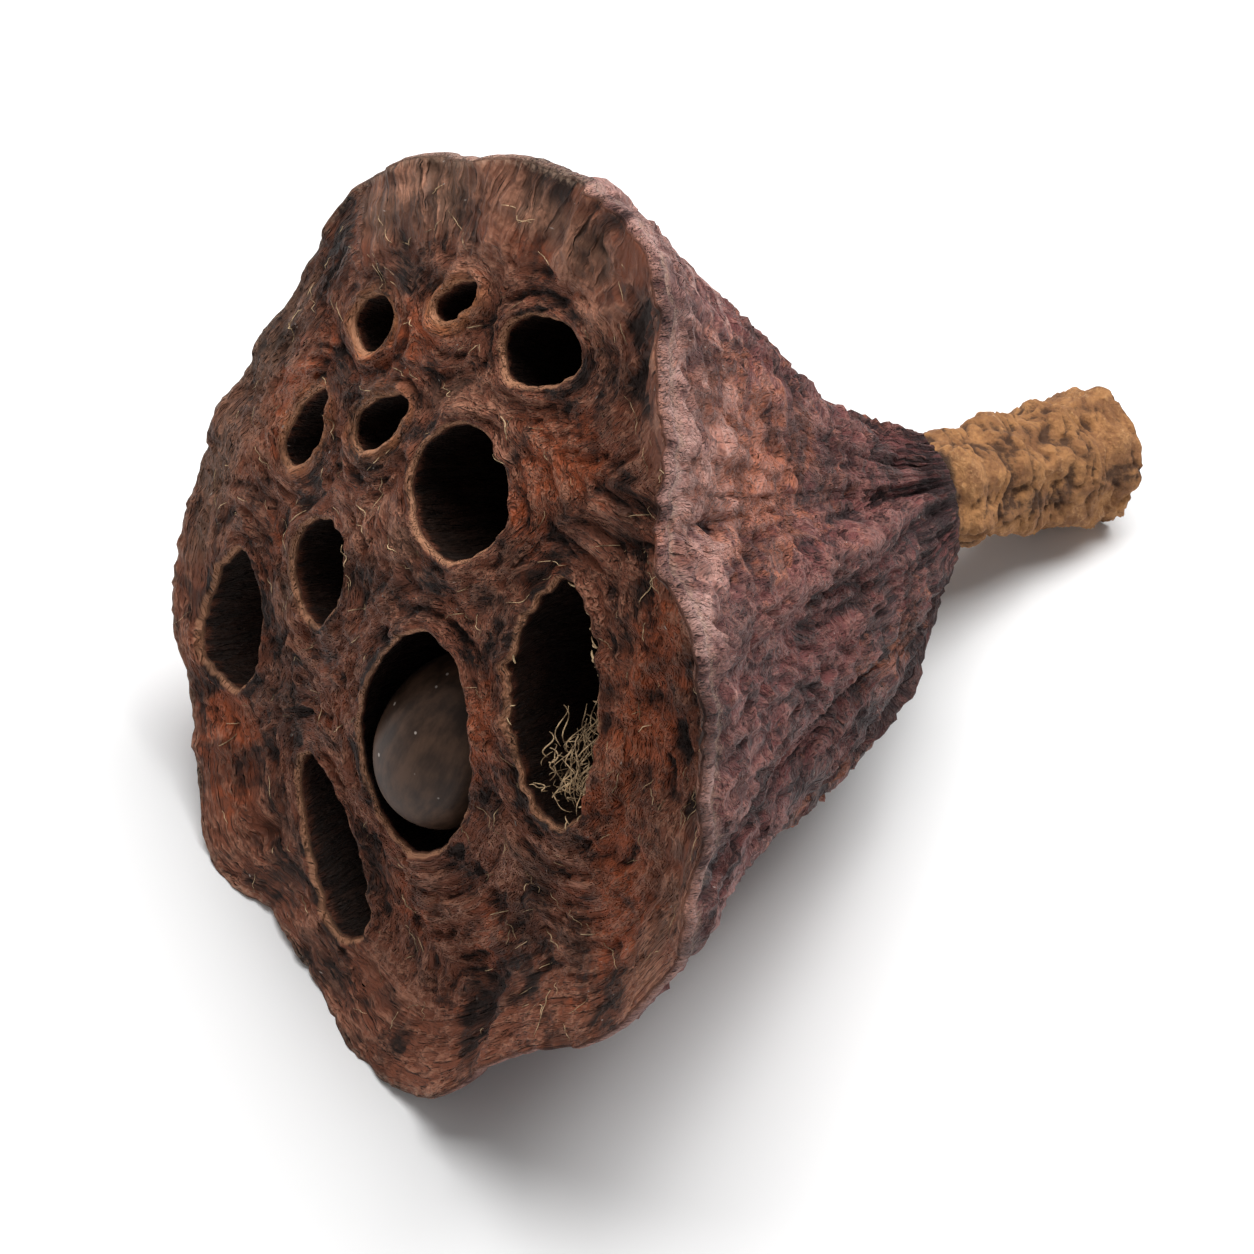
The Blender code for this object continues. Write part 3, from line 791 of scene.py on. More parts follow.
def seed_mesh():
    """The seed: an ellipsoid, a little blunter at one end, with the nub of its style at the other."""
    rings, sides = 72, 96
    polar = np.linspace(0, np.pi, rings + 1)[1:-1]
    side = np.linspace(0, 2 * np.pi, sides, endpoint=False)
    p, s = (part.ravel() for part in np.meshgrid(polar, side, indexing="ij"))
    unit = np.stack([np.sin(p) * np.cos(s), np.sin(p) * np.sin(s), np.cos(p)], -1)
    unit = np.vstack([unit, [[0, 0, 1], [0, 0, -1]]])
    full = 1 - 0.10 * unit[:, 2] + 0.012 * noise(unit * 2.2, 51)
    nub = 0.6 * np.exp(-(((1 - unit[:, 2]) / 0.02) ** 2))
    local = np.stack(
        [
            SEED_HALF_WIDE * unit[:, 0] * full,
            SEED_HALF_WIDE * 0.97 * unit[:, 1] * full,
            SEED_HALF_LONG * unit[:, 2] + nub,
        ],
        -1,
    )
    stand = Matrix.Rotation(SEED_TURN, 3, "Z") @ Matrix.Rotation(SEED_DIP - math.pi / 2, 3, "X")
    points = local @ np.array(stand).T + np.array(SEED_AT)
    count = (rings - 1) * sides
    ring = np.arange(sides)
    faces = [
        grid_faces(0, rings - 1, sides)[:, ::-1],
        fan_faces(ring, count),
        fan_faces(count - sides + ring, count + 1)[:, ::-1],
    ]
    return points, faces, {"grain": local / np.array([1.0, 1.0, 5.0])}


def stub_mesh(settings):
    """The stalk's stub: a turned rod with swollen rings, furrows, cork cracks and a broken end.

    Outside its socket the radius adds sines along and round the rod, a flare at the end, crests of
    noise, cracks where other crests are high, and slow noise. Four rings and a pole close the end.
    """
    rows, sides = 130, 150
    long = STUB_LONG + SOCKET_DEEP - FIT_GAP
    spin = np.linspace(0, 2 * np.pi, sides, endpoint=False)
    down, angle = np.meshgrid(np.linspace(0, 1, rows), spin, indexing="ij")
    d, a = down.ravel(), angle.ravel()
    bare = ease((d * long - SOCKET_DEEP) / 1.2)
    rings = 0.16 * np.sin(d * 26 + 0.9 * np.sin(a)) + 0.10 * np.sin(d * 47 + 2 * a)
    furrows = 0.14 * np.sin(5 * a + 5 * d) + 0.10 * np.sin(9 * a - 3 * d + 1)
    flare = STUB_FLARE * ease((d - 0.55) / 0.4) * (1 + 0.25 * np.sin(2 * a + 0.6))
    spot = np.stack([4.3 * np.cos(a), 4.3 * np.sin(a), long * d], -1)
    warp = np.stack([noise(spot / 3, 61), noise(spot / 3, 62), noise(spot / 3, 63)], -1)
    cork = ridges((spot + 1.6 * warp) / np.array([1.5, 1.5, 1.0]), 64)
    cracks = -0.5 * np.clip(ridges((spot + 1.2 * warp) / np.array([2.4, 2.4, 1.3]), 65) - 0.55, 0, 1)
    relief = 0.16 * cork + cracks + 0.35 * noise(spot / 2.6, 66) + 0.08 * ridges(spot / 0.55, 67)
    radius = STUB_R + bare * (1.6 * (rings + furrows) + flare + 0.1 + relief * settings.wrinkle_depth)
    end = ease((d - 0.9) / 0.1) * (0.35 * np.sin(3 * a + 1) + 0.5 * noise(round_ring(a, 3.0), 68))
    side = np.stack([radius * np.cos(a), radius * np.sin(a), -long * d + end], -1)
    last = side.reshape(rows, sides, 3)[-1]
    caps = []
    for share in (0.85, 0.6, 0.35, 0.12):
        rough = 0.35 * noise(round_ring(spin, 5 * share + 1), 69)
        ring = last * np.array([share, share, 1])
        ring[:, 2] += 0.9 * ease((0.95 - share) / 0.3) + rough * (share < 0.8)
        caps.append(ring)
    top = side.reshape(rows, sides, 3)[0] * np.array([0.02, 0.02, 1])
    foot = SOCKET_DEEP - FIT_GAP - FUNNEL_DEEP
    local = np.vstack([top, side, *caps, [[0, 0, caps[-1][:, 2].mean()]], [[0, 0, top[0, 2]]]])
    points = local + np.array([*FUNNEL_END, foot])
    ring = np.arange(sides)
    count = (rows + 1 + len(caps)) * sides
    faces = [
        grid_faces(0, rows + 1 + len(caps), sides)[:, ::-1],
        fan_faces(count - sides + ring, count)[:, ::-1],
        fan_faces(ring, count + 1),
    ]
    facts = {}
    for key, values, at_end in (("relief", relief / RELIEF_SPAN, -0.5), ("down", d, 1)):
        end_values = np.full(len(caps) * sides + 1, at_end)
        facts[key] = np.concatenate([np.zeros(sides), values, end_values, [0]])
    return points, faces, facts


def tube(path, radius, sides=6):
    """A closed tube along a path, its rings square to the path: thick in the middle, thin at both ends."""
    way = np.gradient(path, axis=0)
    way /= np.linalg.norm(way, axis=1, keepdims=True)
    helper = np.where(np.abs(way[:, :1]) < 0.8, [[1.0, 0.0, 0.0]], [[0.0, 1.0, 0.0]])
    first = np.cross(way, helper)
    first /= np.linalg.norm(first, axis=1, keepdims=True)
    second = np.cross(way, first)
    spin = np.linspace(0, 2 * np.pi, sides, endpoint=False)
    thick = radius * (0.35 + 0.65 * np.sin(np.linspace(0.25, np.pi - 0.25, len(path))))
    rings = path[:, None] + thick[:, None, None] * (
        np.cos(spin)[None, :, None] * first[:, None] + np.sin(spin)[None, :, None] * second[:, None]
    )
    return np.vstack([rings.reshape(-1, 3), path[:1], path[-1:]])


def tubes(paths, sides=6):
    """Many closed tubes, each from a path of points and a radius, as one mesh."""
    points, faces, total = [], [], 0
    side = np.arange(sides)
    for path, radius in paths:
        points.append(tube(path, radius, sides))
        count = len(path) * sides
        faces.append(grid_faces(total, len(path), sides))
        faces.append(fan_faces(total + side, total + count)[:, ::-1])
        faces.append(fan_faces(total + count - sides + side, total + count + 1))
        total += count + 2
    return np.vstack(points), faces


def threads_mesh(settings):
    """Withered threads low in the right-hand pit and frayed fibres along its edge, as thin tubes.

    Each thread is a line along the mouth plus a sine, with seeded lengths and heights. Each fibre
    starts just outside the mouth's edge and runs inwards, sagging.
    """
    draw = np.random.default_rng(7)
    t = np.linspace(0, 1, 14)
    paths = []
    ring, way = mouth_ring("right", 120)
    centre, turn = np.array(MOUTHS["right"][:2]), math.radians(MOUTHS["right"][4])
    long_way = np.array([math.cos(turn), math.sin(turn)])
    wide_way = np.array([long_way[1], -long_way[0]])
    for _ in range(THREADS):
        along = draw.uniform(-8.2, -2.5) + draw.uniform(0.3, 3.6) * draw.choice((1, 1, -0.4)) * t
        curl = draw.uniform(0.05, 0.45) * np.sin(t * draw.uniform(2, 6) + draw.uniform(0, 6))
        across = draw.normal(0.9, 1.1) + draw.uniform(-1.2, 1.2) * t + curl
        flat = centre + np.clip(along, -8.0, 7.5)[:, None] * long_way
        flat = flat + np.clip(across, -2.6, 2.6)[:, None] * wide_way
        high = draw.uniform(-4.5, 0.8) + draw.uniform(-1.2, 1.2) * t + 0.4 * np.sin(t * draw.uniform(2, 7))
        paths.append((np.column_stack([flat, high]), draw.uniform(0.02, 0.06)))
    for spot in draw.integers(0, len(ring), EDGE_FIBRES):
        on_right = (ring[spot] - centre) @ wide_way > 0
        if not on_right and draw.uniform() < 0.8:
            continue
        slip = np.array([-way[spot][1], way[spot][0]]) * draw.uniform(-1.2, 1.2)
        inward = (0.25 - draw.uniform(0.2, 0.9) * t)[:, None] * way[spot]
        flat = ring[spot] + inward + slip * t[:, None]
        top = plain_face(*ring[spot][:, None])[0] + settings.lip_height * 0.8
        high = top + 0.15 * np.sin(3 * t) - draw.uniform(0, 0.8) * t
        paths.append((np.column_stack([flat, high]), draw.uniform(0.04, 0.10)))
    return tubes(paths)


def fibres_mesh(settings):
    """Loose fibres lying on the face: thin tubes that follow the edge of the nearest mouth.

    Each fibre steps across the slope of the gap to the nearest mouth, turned a little by its own
    bend, and lies on the fine face. Those that come too near a mouth are left out.
    """
    draw = np.random.default_rng(11)
    rings = {mouth: mouth_ring(mouth, 90)[0] for mouth in MOUTHS}
    count, steps, stride = FACE_FIBRES, 9, 0.20
    angle = draw.uniform(0, 2 * np.pi, count)
    share = np.sqrt(draw.uniform(0.02, 0.92, count))
    spots = (np.stack([np.cos(angle), np.sin(angle)]) * share * rim_radius(angle)).T
    lengths = draw.uniform(0.25, 1.3, count)
    bend = draw.normal(0, 0.35, count)
    track = [spots]
    for step in range(steps - 1):
        here = track[-1]
        gap = all_gaps(here, rings).min(1)
        slope = np.stack(
            [
                all_gaps(here + np.array([0.05, 0]), rings).min(1) - gap,
                all_gaps(here + np.array([0, 0.05]), rings).min(1) - gap,
            ],
            -1,
        )
        slope /= np.maximum(np.hypot(*slope.T), 1e-6)[:, None]
        turned = np.stack([-slope[:, 1], slope[:, 0]], -1) + slope * (bend * (1 + step * 0.3))[:, None]
        track.append(here + turned * (lengths * stride)[:, None])
    track = np.stack(track, 1)
    flat = track.reshape(-1, 2)
    height = face_surface(flat, rings, settings)[0].reshape(count, steps)
    clear = all_gaps(flat, rings).min(1).reshape(count, steps).min(1) > 0.15
    radius = np.abs(draw.normal(0.0, 0.014, count)) + 0.018
    lift = 0.03 + 0.10 * draw.uniform(0, 1, (count, 1)) * np.sin(np.linspace(0, np.pi, steps))
    paths = [
        (np.column_stack([track[i], height[i] + lift[i] + radius[i]]), radius[i])
        for i in np.flatnonzero(clear)
    ]
    return tubes(paths, 5)


# Materials.


class Wire:
    """A shader output that takes part in Python sums, products and differences."""

    def __init__(self, sheet, socket):
        self.sheet, self.socket = sheet, socket

    def _with(self, operation, other, swap=False):
        """A Math node on this value and another, the other first if swap is true."""
        pair = (other, self) if swap else (self, other)
        return self.sheet.node("ShaderNodeMath", {"operation": operation}, {0: pair[0], 1: pair[1]})

    def __add__(self, other):
        return self._with("ADD", other)

    def __radd__(self, other):
        return self._with("ADD", other, True)

    def __sub__(self, other):
        return self._with("SUBTRACT", other)

    def __rsub__(self, other):
        return self._with("SUBTRACT", other, True)

    def __mul__(self, other):
        return self._with("MULTIPLY", other)

    def __rmul__(self, other):
        return self._with("MULTIPLY", other, True)

    def clamped(self):
        """The value held between 0 and 1."""
        return self.sheet.node("ShaderNodeClamp", {}, {"Value": self})

    def crest(self, sharp):
        """1 where the value crosses 0.5, falling straight to 0 on both sides."""
        off = (self - 0.5)._with("ABSOLUTE", 0.0)
        return (1.0 - off * sharp).clamped()

    def rising(self, low, high):
        """0 below low, 1 above high, eased between."""
        settings = {"interpolation_type": "SMOOTHSTEP"}
        sockets = {"Value": self, "From Min": low, "From Max": high, "To Min": 0.0, "To Max": 1.0}
        return self.sheet.node("ShaderNodeMapRange", settings, sockets)


class Sheet:
    """One material's node tree, written as expressions."""

    def __init__(self, name):
        self.material = bpy.data.materials.new(name)
        self.material.use_nodes = True
        self.tree = self.material.node_tree
        self.tree.nodes.clear()

    def node(self, kind, settings, sockets, output=0):
        """A node with its settings, then its inputs: numbers, colours or wires.

        Returns one of its outputs as a wire.
        """
        made = self.tree.nodes.new(kind)
        for key, value in settings.items():
            setattr(made, key, value)
        for key, value in sockets.items():
            if isinstance(value, Wire):
                self.tree.links.new(value.socket, made.inputs[key])
            else:
                made.inputs[key].default_value = value
        return Wire(self, made.outputs[output]) if made.outputs else None

    def fact(self, name, vector=False):
        """A named attribute of the mesh."""
        output = "Vector" if vector else "Fac"
        return self.node("ShaderNodeAttribute", {"attribute_name": name}, {}, output)

    def spots(self):
        """Object coordinates in millimetres, from the middle of the face."""
        coordinates = self.node("ShaderNodeTexCoord", {}, {}, "Object")
        centre = tuple(-float(value) * MM for value in FACE_CENTRE)
        moved = self.node("ShaderNodeMapping", {}, {"Vector": coordinates, "Location": centre})
        settings = {"operation": "SCALE"}
        return self.node("ShaderNodeVectorMath", settings, {0: moved, "Scale": 1.0 / MM})

    def noise(self, vector, scale, detail=4.0, rough=0.55, warp=0.0):
        """Cloudy noise, about 0.5 on average."""
        sockets = {"Vector": vector, "Scale": scale, "Detail": detail, "Roughness": rough}
        sockets["Distortion"] = warp
        return self.node("ShaderNodeTexNoise", {}, sockets)

    def cells(self, vector, scale):
        """The distance to the nearest of scattered points."""
        return self.node("ShaderNodeTexVoronoi", {}, {"Vector": vector, "Scale": scale}, "Distance")

    def blend(self, a, b, share):
        """Value a, and b where share is 1."""
        return self.node("ShaderNodeMix", {"data_type": "FLOAT"}, {0: share, 2: a, 3: b})

    def mix(self, a, b, share):
        """Colour a, and b where share is 1."""
        settings = {"data_type": "RGBA"}
        return self.node("ShaderNodeMix", settings, {0: share, 6: rgba(a), 7: rgba(b)}, 2)

    def bump(self, height, distance, strength=1.0, normal=None):
        """A normal tilted by the slope of a height, on top of another normal if one is given."""
        sockets = {"Height": height, "Distance": distance, "Strength": strength}
        if normal is not None:
            sockets["Normal"] = normal
        return self.node("ShaderNodeBump", {}, sockets)

    def finish(self, colour, rough, normal, **more):
        """The material, once its shader has its colour, roughness, normal and any other values."""
        sockets = {"Base Color": rgba(colour), "Roughness": rough, "Normal": normal, **more}
        shader = self.node("ShaderNodeBsdfPrincipled", {}, sockets)
        self.node("ShaderNodeOutputMaterial", {}, {"Surface": shader})
        return self.material


def rgba(colour):
    """A colour socket's value: three numbers get an alpha of 1 and a wire stays."""
    return colour if isinstance(colour, Wire) else (*colour, 1.0)


# A weaker reflection than the shader's usual one, for skin and seed.
DULL = {"Specular IOR Level": 0.3}


def skin_material(settings):
    """The receptacle's leathery skin: mottled brown, with painted highlights on the crests of its wrinkles
    and painted shade in its furrows.

    Rust and ash patches lie on the face, and a warm flush on the funnel. A dusty bloom lies under the
    rim, partly painted light: it fades under the funnel's painted shade. The mouths have pale edges,
    the rim a painted highlight along its edge, and painted shade darkens the pits with depth.
    """
    sheet = Sheet("dried_receptacle_skin")
    flow, fan, fanned = sheet.fact("flow", True), sheet.fact("fan", True), sheet.fact("fan_share")
    spots, relief, funnel = sheet.spots(), sheet.fact("relief"), sheet.fact("funnel")
    mottle = sheet.noise(spots, 0.20, 4.0, 0.6, 0.4)
    blotch = sheet.noise(spots, 0.45, 5.0, 0.65, 0.8)
    fine = sheet.noise(spots, 2.6, 3.0, 0.6)
    flow_streak = sheet.noise(flow, 1.0, 3.0, 0.6, 0.3)
    streak = sheet.blend(flow_streak, sheet.noise(fan, 0.9, 3.0, 0.6, 0.3), fanned)
    flow_hair = sheet.noise(flow, 2.3, 3.0, 0.6, 0.2)
    hair = sheet.blend(flow_hair, sheet.noise(fan, 2.1, 3.0, 0.6, 0.2), fanned)
    ridge, line = streak.crest(8.0), hair.crest(9.0)

    tone = mottle * 0.35 + streak * 0.45 + hair * 0.2 + relief * 0.05
    # lit: painted highlight on the crests of the wrinkles, read from their relief, with some noise.
    lit = ridge * 0.45 + line * 0.35 + relief * 0.22 + (fine - 0.5) * 0.8
    face = sheet.mix(settings.skin_dark, settings.skin_brown, tone.rising(0.43, 0.56))
    rust = (sheet.fact("rust") + (blotch - 0.5) * 2.2).rising(0.25, 0.9) * tone.rising(0.36, 0.54)
    face = sheet.mix(face, settings.skin_rust, rust * 0.9)
    ash = (sheet.fact("ash") + (mottle - 0.5) * 2.0).rising(0.2, 0.95) * tone.rising(0.36, 0.54)
    face = sheet.mix(face, settings.skin_ash, ash * 0.75)
    tan = (sheet.fact("collar") * (0.3 + streak * 1.6)).rising(0.2, 0.8) * tone.rising(0.36, 0.5)
    face = sheet.mix(face, settings.skin_tan, tan * 0.85)
    # Pale dusty crests on the face, partly painted highlight.
    face = sheet.mix(face, settings.skin_dust_and_highlight, lit.rising(0.58, 1.10) * 0.6)
    face = sheet.mix(face, settings.skin_dark, (0.52 - mottle).rising(0.0, 0.12) * 0.55)
    # Painted shade in the face's furrows and dents, where its relief is low.
    face = sheet.mix(face, settings.skin_dark, (0.1 - relief).rising(0.0, 1.0) * 0.9)

    # low: darker towards the stalk, plus the painted shade on the funnel's lower right side.
    low = sheet.fact("down") * 0.9 + sheet.fact("shade")
    cone = sheet.mix(settings.funnel_dark, settings.funnel_mauve, (tone - low * 0.15).rising(0.36, 0.50))
    warm = (sheet.fact("rust") + (blotch - 0.5) * 3.0).rising(0.35, 0.95) * tone.rising(0.38, 0.52)
    cone = sheet.mix(cone, settings.funnel_warm, warm * (0.85 - sheet.fact("down") * 0.4))
    # Dusty bloom under the rim, fading towards the stalk and under the painted shade: partly painted light
    # on the side away from that shade.
    bloom = (0.85 - low * 3.4 + (mottle - 0.5) * 2.4 + (blotch - 0.5) * 1.6).rising(0.1, 0.9)
    cone = sheet.mix(cone, settings.funnel_bloom_and_highlight, bloom * tone.rising(0.42, 0.58) * 0.75)
    # Painted highlights on the funnel's crests, weaker towards the stalk and in the painted shade.
    cone = sheet.mix(cone, settings.funnel_crest_highlight, lit.rising(0.55, 1.1) * (0.8 - low * 0.5))
    cone = sheet.mix(cone, settings.funnel_dark, (0.53 - mottle).rising(0.0, 0.12) * 0.5)
    # Painted shade in the funnel's creases, where its relief is low.
    cone = sheet.mix(cone, settings.funnel_dark, (0.05 - relief).rising(0.0, 0.9) * 0.9)

    colour = sheet.mix(face, cone, funnel)
    pale = (sheet.fact("lip") * (0.4 + streak * 1.1)).rising(0.5, 0.95)
    colour = sheet.mix(colour, settings.lip_tan, pale * 0.75)
    # Painted highlight along the rim's edge.
    edge = (sheet.fact("edge") * (0.35 + fine)).rising(0.62, 1.0)
    colour = sheet.mix(colour, settings.rim_edge_highlight, edge * 0.5)
    # Painted shade darkens the pits with depth.
    hollow = sheet.fact("hollow").rising(0.0, 0.8)
    colour = sheet.mix(colour, settings.pit_shade, hollow * 0.93)
    dust = (0.10 - sheet.cells(flow, 1.1)).rising(0.0, 0.06) * blotch.rising(0.5, 0.62)
    colour = sheet.mix(colour, settings.speck_pale, dust * (1.0 - hollow) * 0.8)

    rough = 0.66 - ridge * 0.16 - rust * 0.08 + fine * 0.15
    coarse = sheet.bump(ridge * 0.6 + streak * 1.2, 0.75 * MM, settings.bump_strength)
    small = sheet.bump(line * 0.6 + hair + fine * 0.5, 0.17 * MM, settings.bump_strength, coarse)
    return sheet.finish(colour, rough.clamped(), small, **DULL)


def seed_material(settings):
    """A smooth dull seed coat with faint streaks along the seed and a few pale flecks."""
    sheet = Sheet("seed_coat")
    grain, spots = sheet.fact("grain", True), sheet.spots()
    streak = sheet.noise(grain, 1.6, 5.0, 0.6)
    cloud = sheet.noise(spots, 0.35, 3.0, 0.5)
    tone = (streak * 0.5 + cloud * 0.5).rising(0.35, 0.65)
    colour = sheet.mix(settings.seed_dark, settings.seed_brown, tone)
    fleck = (0.09 - sheet.cells(spots, 0.5)).rising(0.0, 0.03)
    colour = sheet.mix(colour, settings.speck_pale, fleck * 0.7)
    normal = sheet.bump(sheet.noise(spots, 4.0, 3.0), 0.03 * MM, 0.5)
    return sheet.finish(colour, 0.45 + cloud * 0.2, normal, **DULL)


def cork_material(settings):
    """Ochre cork with dark cracks deepened by painted shade, pale crests with painted highlights, and a
    dark line where it meets the funnel.
    """
    sheet = Sheet("corky_stalk")
    spots, relief, down = sheet.spots(), sheet.fact("relief"), sheet.fact("down")
    cloud = sheet.noise(spots, 0.5, 5.0, 0.6, 0.5)
    fine = sheet.noise(spots, 2.6, 6.0, 0.7, 0.4)
    tone = (cloud * 0.6 + fine * 0.4).rising(0.36, 0.62)
    colour = sheet.mix(settings.cork_brown, settings.cork_tan, tone)
    # Pale crests where the relief is high: the cork's pale colour, and painted highlight.
    crest = (relief * 0.5 + (fine - 0.5) * 2.0).rising(0.25, 0.8)
    colour = sheet.mix(colour, settings.cork_pale_and_highlight, crest * 0.6)
    # Dark cracks where the relief is low: the cracks' own colour, and painted shade.
    crack = (0.2 - relief + (fine - 0.5) * 1.5).rising(0.0, 0.55)
    colour = sheet.mix(colour, settings.cork_cracks_and_shade, crack * 0.92)
    joint = (0.20 - down).rising(0.0, 0.03) * 0.9
    colour = sheet.mix(colour, settings.skin_dark, joint)
    normal = sheet.bump(fine + cloud * 0.4, 0.45 * MM, settings.bump_strength)
    return sheet.finish(colour, 0.72 + fine * 0.2, normal)


def thread_material(settings):
    """Pale straw threads, browner here and there."""
    sheet = Sheet("withered_threads")
    cloud = sheet.noise(sheet.spots(), 0.9, 4.0, 0.6)
    colour = sheet.mix(settings.thread_brown, settings.thread_pale, cloud.rising(0.38, 0.6))
    normal = sheet.bump(sheet.noise(sheet.spots(), 6.0, 3.0), 0.05 * MM, 0.6)
    return sheet.finish(colour, 0.6 + cloud * 0.1, normal)


def floor_material(settings):
    """A plain pale tabletop with the faintest cloud in it."""
    sheet = Sheet("pale_tabletop")
    cloud = sheet.noise(sheet.spots(), 0.01, 2.0)
    colour = sheet.mix(settings.floor_pale, (0.93, 0.93, 0.93), cloud)
    normal = sheet.bump(cloud, 0.01 * MM, 0.1)
    return sheet.finish(colour, 0.9 + cloud * 0.05, normal)


# Settings, operators and panel.


def colour_property(name, description, default):
    """A colour that a user can change."""
    return FloatVectorProperty(
        name=name, description=description, subtype="COLOR", size=3, min=0, max=1, default=default
    )


class LotusPodSettings(bpy.types.PropertyGroup):
    """Sizes and colours of the pod."""

    lip_height: FloatProperty(
        name="Lip height",
        description="Height of the lips round the pit mouths, in millimetres",
        default=0.8,
        min=0,
        max=1.5,
    )
    wrinkle_depth: FloatProperty(
        name="Wrinkle depth",
        description="Depth of the modelled wrinkles against that of a usual dried pod",
        default=1.4,
        min=0,
        max=2,
        subtype="FACTOR",
    )
    bump_strength: FloatProperty(
        name="Fibre strength",
        description="Strength of the finest fibres, which are shaded and not modelled",
        default=0.9,
        min=0,
        max=1,
        subtype="FACTOR",
    )
    skin_dark: colour_property("Skin, dark", "Folds and shaded skin of the face", (0.020, 0.008, 0.005))
    skin_brown: colour_property("Skin, brown", "Main colour of the face", (0.205, 0.064, 0.033))
    skin_rust: colour_property("Skin, rust", "Rust-red patches of the face", (0.400, 0.090, 0.030))
    skin_ash: colour_property("Skin, ash", "Ash-grey patches of the face", (0.160, 0.092, 0.060))
    skin_tan: colour_property("Skin, tan", "Collars of the smaller mouths", (0.520, 0.200, 0.085))
    # Colour of the face's crests: dust, and painted highlight.
    skin_dust_and_highlight: colour_property("Skin, crests", "Pale crests of the face's fibres", (0.540, 0.250, 0.155))
    # Dark skin of the funnel, and its painted shade in the creases and on its lower right side.
    funnel_dark: colour_property("Funnel, dark", "Creases of the funnel", (0.030, 0.011, 0.012))
    funnel_mauve: colour_property("Funnel, mauve", "Main colour of the funnel", (0.150, 0.043, 0.040))
    funnel_warm: colour_property("Funnel, warm", "Warm flush of the funnel", (0.520, 0.170, 0.085))
    # Painted highlight on the funnel's crests.
    funnel_crest_highlight: colour_property("Funnel, crests", "Worn crests of the wrinkles", (0.420, 0.190, 0.150))
    # Bloom of the funnel: pale dust, and painted light away from its painted shade.
    funnel_bloom_and_highlight: colour_property("Funnel, bloom", "Dusty bloom under the rim", (0.560, 0.350, 0.310))
    lip_tan: colour_property("Mouth edges", "Pale edges of the pit mouths", (0.560, 0.270, 0.150))
    # Painted highlight along the rim's edge.
    rim_edge_highlight: colour_property("Rim edge", "Pale line of the rim", (0.420, 0.280, 0.200))
    # Painted shade inside the pits.
    pit_shade: colour_property("Pits", "Inside of the pits", (0.022, 0.011, 0.007))
    speck_pale: colour_property("Specks", "Pale dust specks", (0.700, 0.600, 0.530))
    seed_dark: colour_property("Seed, dark", "Shaded parts of the seed coat", (0.034, 0.017, 0.010))
    seed_brown: colour_property("Seed, brown", "Main colour of the seed coat", (0.105, 0.055, 0.033))
    cork_tan: colour_property("Cork, tan", "Main colour of the stalk", (0.500, 0.235, 0.085))
    # Pale cork of the crests, and painted highlight.
    cork_pale_and_highlight: colour_property("Cork, crests", "Pale crests of the cork", (0.700, 0.420, 0.200))
    cork_brown: colour_property("Cork, brown", "Darker cork", (0.250, 0.105, 0.040))
    # Colour of the cork's cracks, and painted shade in them.
    cork_cracks_and_shade: colour_property("Cork, cracks", "Cracks of the cork", (0.070, 0.030, 0.014))
    thread_pale: colour_property("Threads, pale", "Main colour of the threads", (0.800, 0.560, 0.320))
    thread_brown: colour_property("Threads, brown", "Darker threads", (0.160, 0.095, 0.045))
    floor_pale: colour_property("Table", "Colour of the tabletop", (0.900, 0.900, 0.900))


def settings_of(context):
    """The pod's settings, which the scene holds."""
    return context.scene.lotus_pod


def add_piece(name, points, faces, facts, material, stands_for):
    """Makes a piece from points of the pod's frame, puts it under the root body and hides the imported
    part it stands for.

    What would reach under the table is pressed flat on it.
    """
    spots = placed(points)
    spots[:, 2] = np.maximum(spots[:, 2], 0)
    piece = new_piece(name, spots, faces, facts)
    piece.data.materials.append(material)
    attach(piece, "root")
    if stands_for:
        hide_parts(stands_for)
    return piece


class LOTUSPOD_OT_receptacle(bpy.types.Operator):
    """Build the receptacle's fine skin: face, lips, pits, rim and funnel."""

    bl_idname = "lotuspod.receptacle"
    bl_label = "Receptacle"

    def execute(self, context):
        settings = settings_of(context)
        points, faces, facts = receptacle_mesh(settings)
        material = skin_material(settings)
        add_piece("receptacle_skin", points, faces, facts, material, "receptacle")
        return {"FINISHED"}


class LOTUSPOD_OT_seed(bpy.types.Operator):
    """Build the seed that is left in the largest pit."""

    bl_idname = "lotuspod.seed"
    bl_label = "Seed"

    def execute(self, context):
        points, faces, facts = seed_mesh()
        material = seed_material(settings_of(context))
        add_piece("seed_fine", points, faces, facts, material, "seed")
        return {"FINISHED"}


class LOTUSPOD_OT_stalk(bpy.types.Operator):
    """Build the stalk's corky stub."""

    bl_idname = "lotuspod.stalk"
    bl_label = "Stalk Stub"

    def execute(self, context):
        settings = settings_of(context)
        points, faces, facts = stub_mesh(settings)
        material = cork_material(settings)
        add_piece("stalk_cork", points, faces, facts, material, "stalk_stub")
        return {"FINISHED"}


class LOTUSPOD_OT_threads(bpy.types.Operator):
    """Build the withered threads of the right-hand pit."""

    bl_idname = "lotuspod.threads"
    bl_label = "Threads"

    def execute(self, context):
        settings = settings_of(context)
        points, faces = threads_mesh(settings)
        material = thread_material(settings)
        add_piece("pit_threads", points, faces, None, material, None)
        return {"FINISHED"}


class LOTUSPOD_OT_fibres(bpy.types.Operator):
    """Scatter the loose fibres over the face."""

    bl_idname = "lotuspod.fibres"
    bl_label = "Face Fibres"

    def execute(self, context):
        settings = settings_of(context)
        points, faces = fibres_mesh(settings)
        material = thread_material(settings)
        add_piece("face_fibres", points, faces, None, material, None)
        return {"FINISHED"}


def aim(item, position, target):
    """Puts an object at a position and turns its -Z axis to the target."""
    item.location = position
    item.rotation_euler = (Vector(target) - Vector(position)).to_track_quat("-Z", "Y").to_euler()
    bpy.context.scene.collection.objects.link(item)


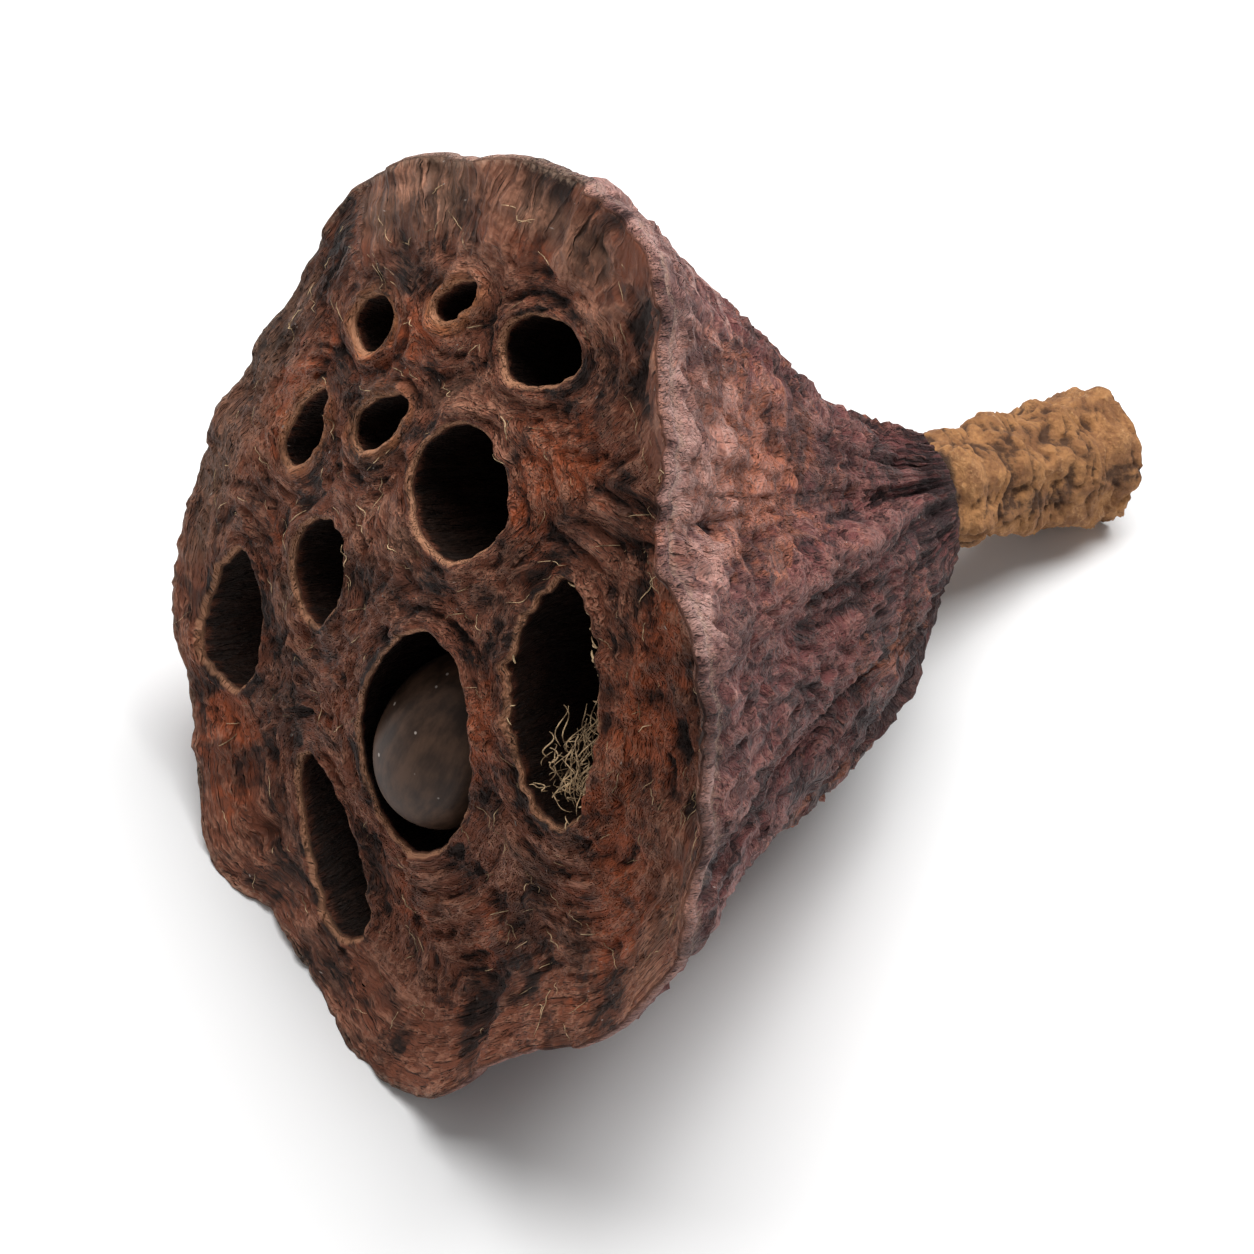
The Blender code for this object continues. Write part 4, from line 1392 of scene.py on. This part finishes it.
def direction(turn, rise):
    """A unit vector from the pod, by its turn from the front to the right and its rise, in radians."""
    flat = math.cos(rise)
    return np.array([math.sin(turn) * flat, -math.cos(turn) * flat, math.sin(rise)])


def area_light(name, toward, size, watts, target):
    """A square soft light that shines on the target from a direction."""
    light = bpy.data.lights.new(name, "AREA")
    light.size, light.energy = size, watts
    aim(bpy.data.objects.new(name, light), target + toward * LIGHTS_FAR, target)


class LOTUSPOD_OT_stage(bpy.types.Operator):
    """Set up the tabletop, the lights and the camera."""

    bl_idname = "lotuspod.stage"
    bl_label = "Stage"

    def execute(self, context):
        mesh = bpy.data.meshes.new("tabletop")
        sides = ((-1, -1), (1, -1), (1, 1), (-1, 1))
        corners = [(TABLE_REACH * x, TABLE_REACH * y, 0) for x, y in sides]
        mesh.from_pydata(corners, [], [(0, 1, 2, 3)])
        floor = bpy.data.objects.new("tabletop", mesh)
        context.scene.collection.objects.link(floor)
        floor.data.materials.append(floor_material(settings_of(context)))

        world = bpy.data.worlds.new("soft_room")
        world.use_nodes = True
        background = world.node_tree.nodes["Background"]
        background.inputs["Color"].default_value = (1.0, 1.0, 1.0, 1.0)
        background.inputs["Strength"].default_value = ROOM_LIGHT
        context.scene.world = world
        for name, (turn, rise, size, watts) in LIGHTS.items():
            toward = direction(math.radians(turn), math.radians(rise))
            area_light(name, toward, size, watts, FACE_CENTRE * MM)

        right = np.array([math.cos(VIEW_TURN), math.sin(VIEW_TURN), 0])
        target = (FACE_CENTRE + LOOK_ASIDE * right) * MM
        camera = bpy.data.cameras.new("camera")
        camera.sensor_width = SENSOR_WIDE
        camera.lens = SENSOR_WIDE * VIEW_FAR / VIEW_WIDE
        camera.clip_start = 0.01
        camera.dof.use_dof = False
        holder = bpy.data.objects.new("camera", camera)
        aim(holder, target + direction(VIEW_TURN, VIEW_RISE) * VIEW_FAR * MM, target)
        context.scene.camera = holder
        context.scene.view_settings.view_transform = "Standard"
        context.scene.view_settings.look = "None"
        context.scene.view_settings.exposure = 0.0
        return {"FINISHED"}


class LOTUSPOD_PT_panel(bpy.types.Panel):
    """Lists the pod's settings and the steps that build it."""

    bl_idname = "LOTUSPOD_PT_panel"
    bl_label = "Lotus Pod"
    bl_space_type = "VIEW_3D"
    bl_region_type = "UI"
    bl_category = "Lotus Pod"

    def draw(self, context):
        for operator in OPERATORS:
            self.layout.operator(operator.bl_idname)
        for key in LotusPodSettings.__annotations__:
            self.layout.prop(settings_of(context), key)


OPERATORS = (
    LOTUSPOD_OT_receptacle,
    LOTUSPOD_OT_seed,
    LOTUSPOD_OT_stalk,
    LOTUSPOD_OT_threads,
    LOTUSPOD_OT_fibres,
    LOTUSPOD_OT_stage,
)
CLASSES = (LotusPodSettings, *OPERATORS, LOTUSPOD_PT_panel)


def register():
    """Registers the classes and gives the scene its settings."""
    for item in CLASSES:
        bpy.utils.register_class(item)
    bpy.types.Scene.lotus_pod = PointerProperty(type=LotusPodSettings)


def unregister():
    """Takes the settings and the classes away again."""
    del bpy.types.Scene.lotus_pod
    for item in reversed(CLASSES):
        bpy.utils.unregister_class(item)


def main():
    """Builds every piece and the stage."""
    register()
    bpy.ops.lotuspod.receptacle()
    bpy.ops.lotuspod.seed()
    bpy.ops.lotuspod.stalk()
    bpy.ops.lotuspod.threads()
    bpy.ops.lotuspod.fibres()
    bpy.ops.lotuspod.stage()


if __name__ == "__main__":
    main()
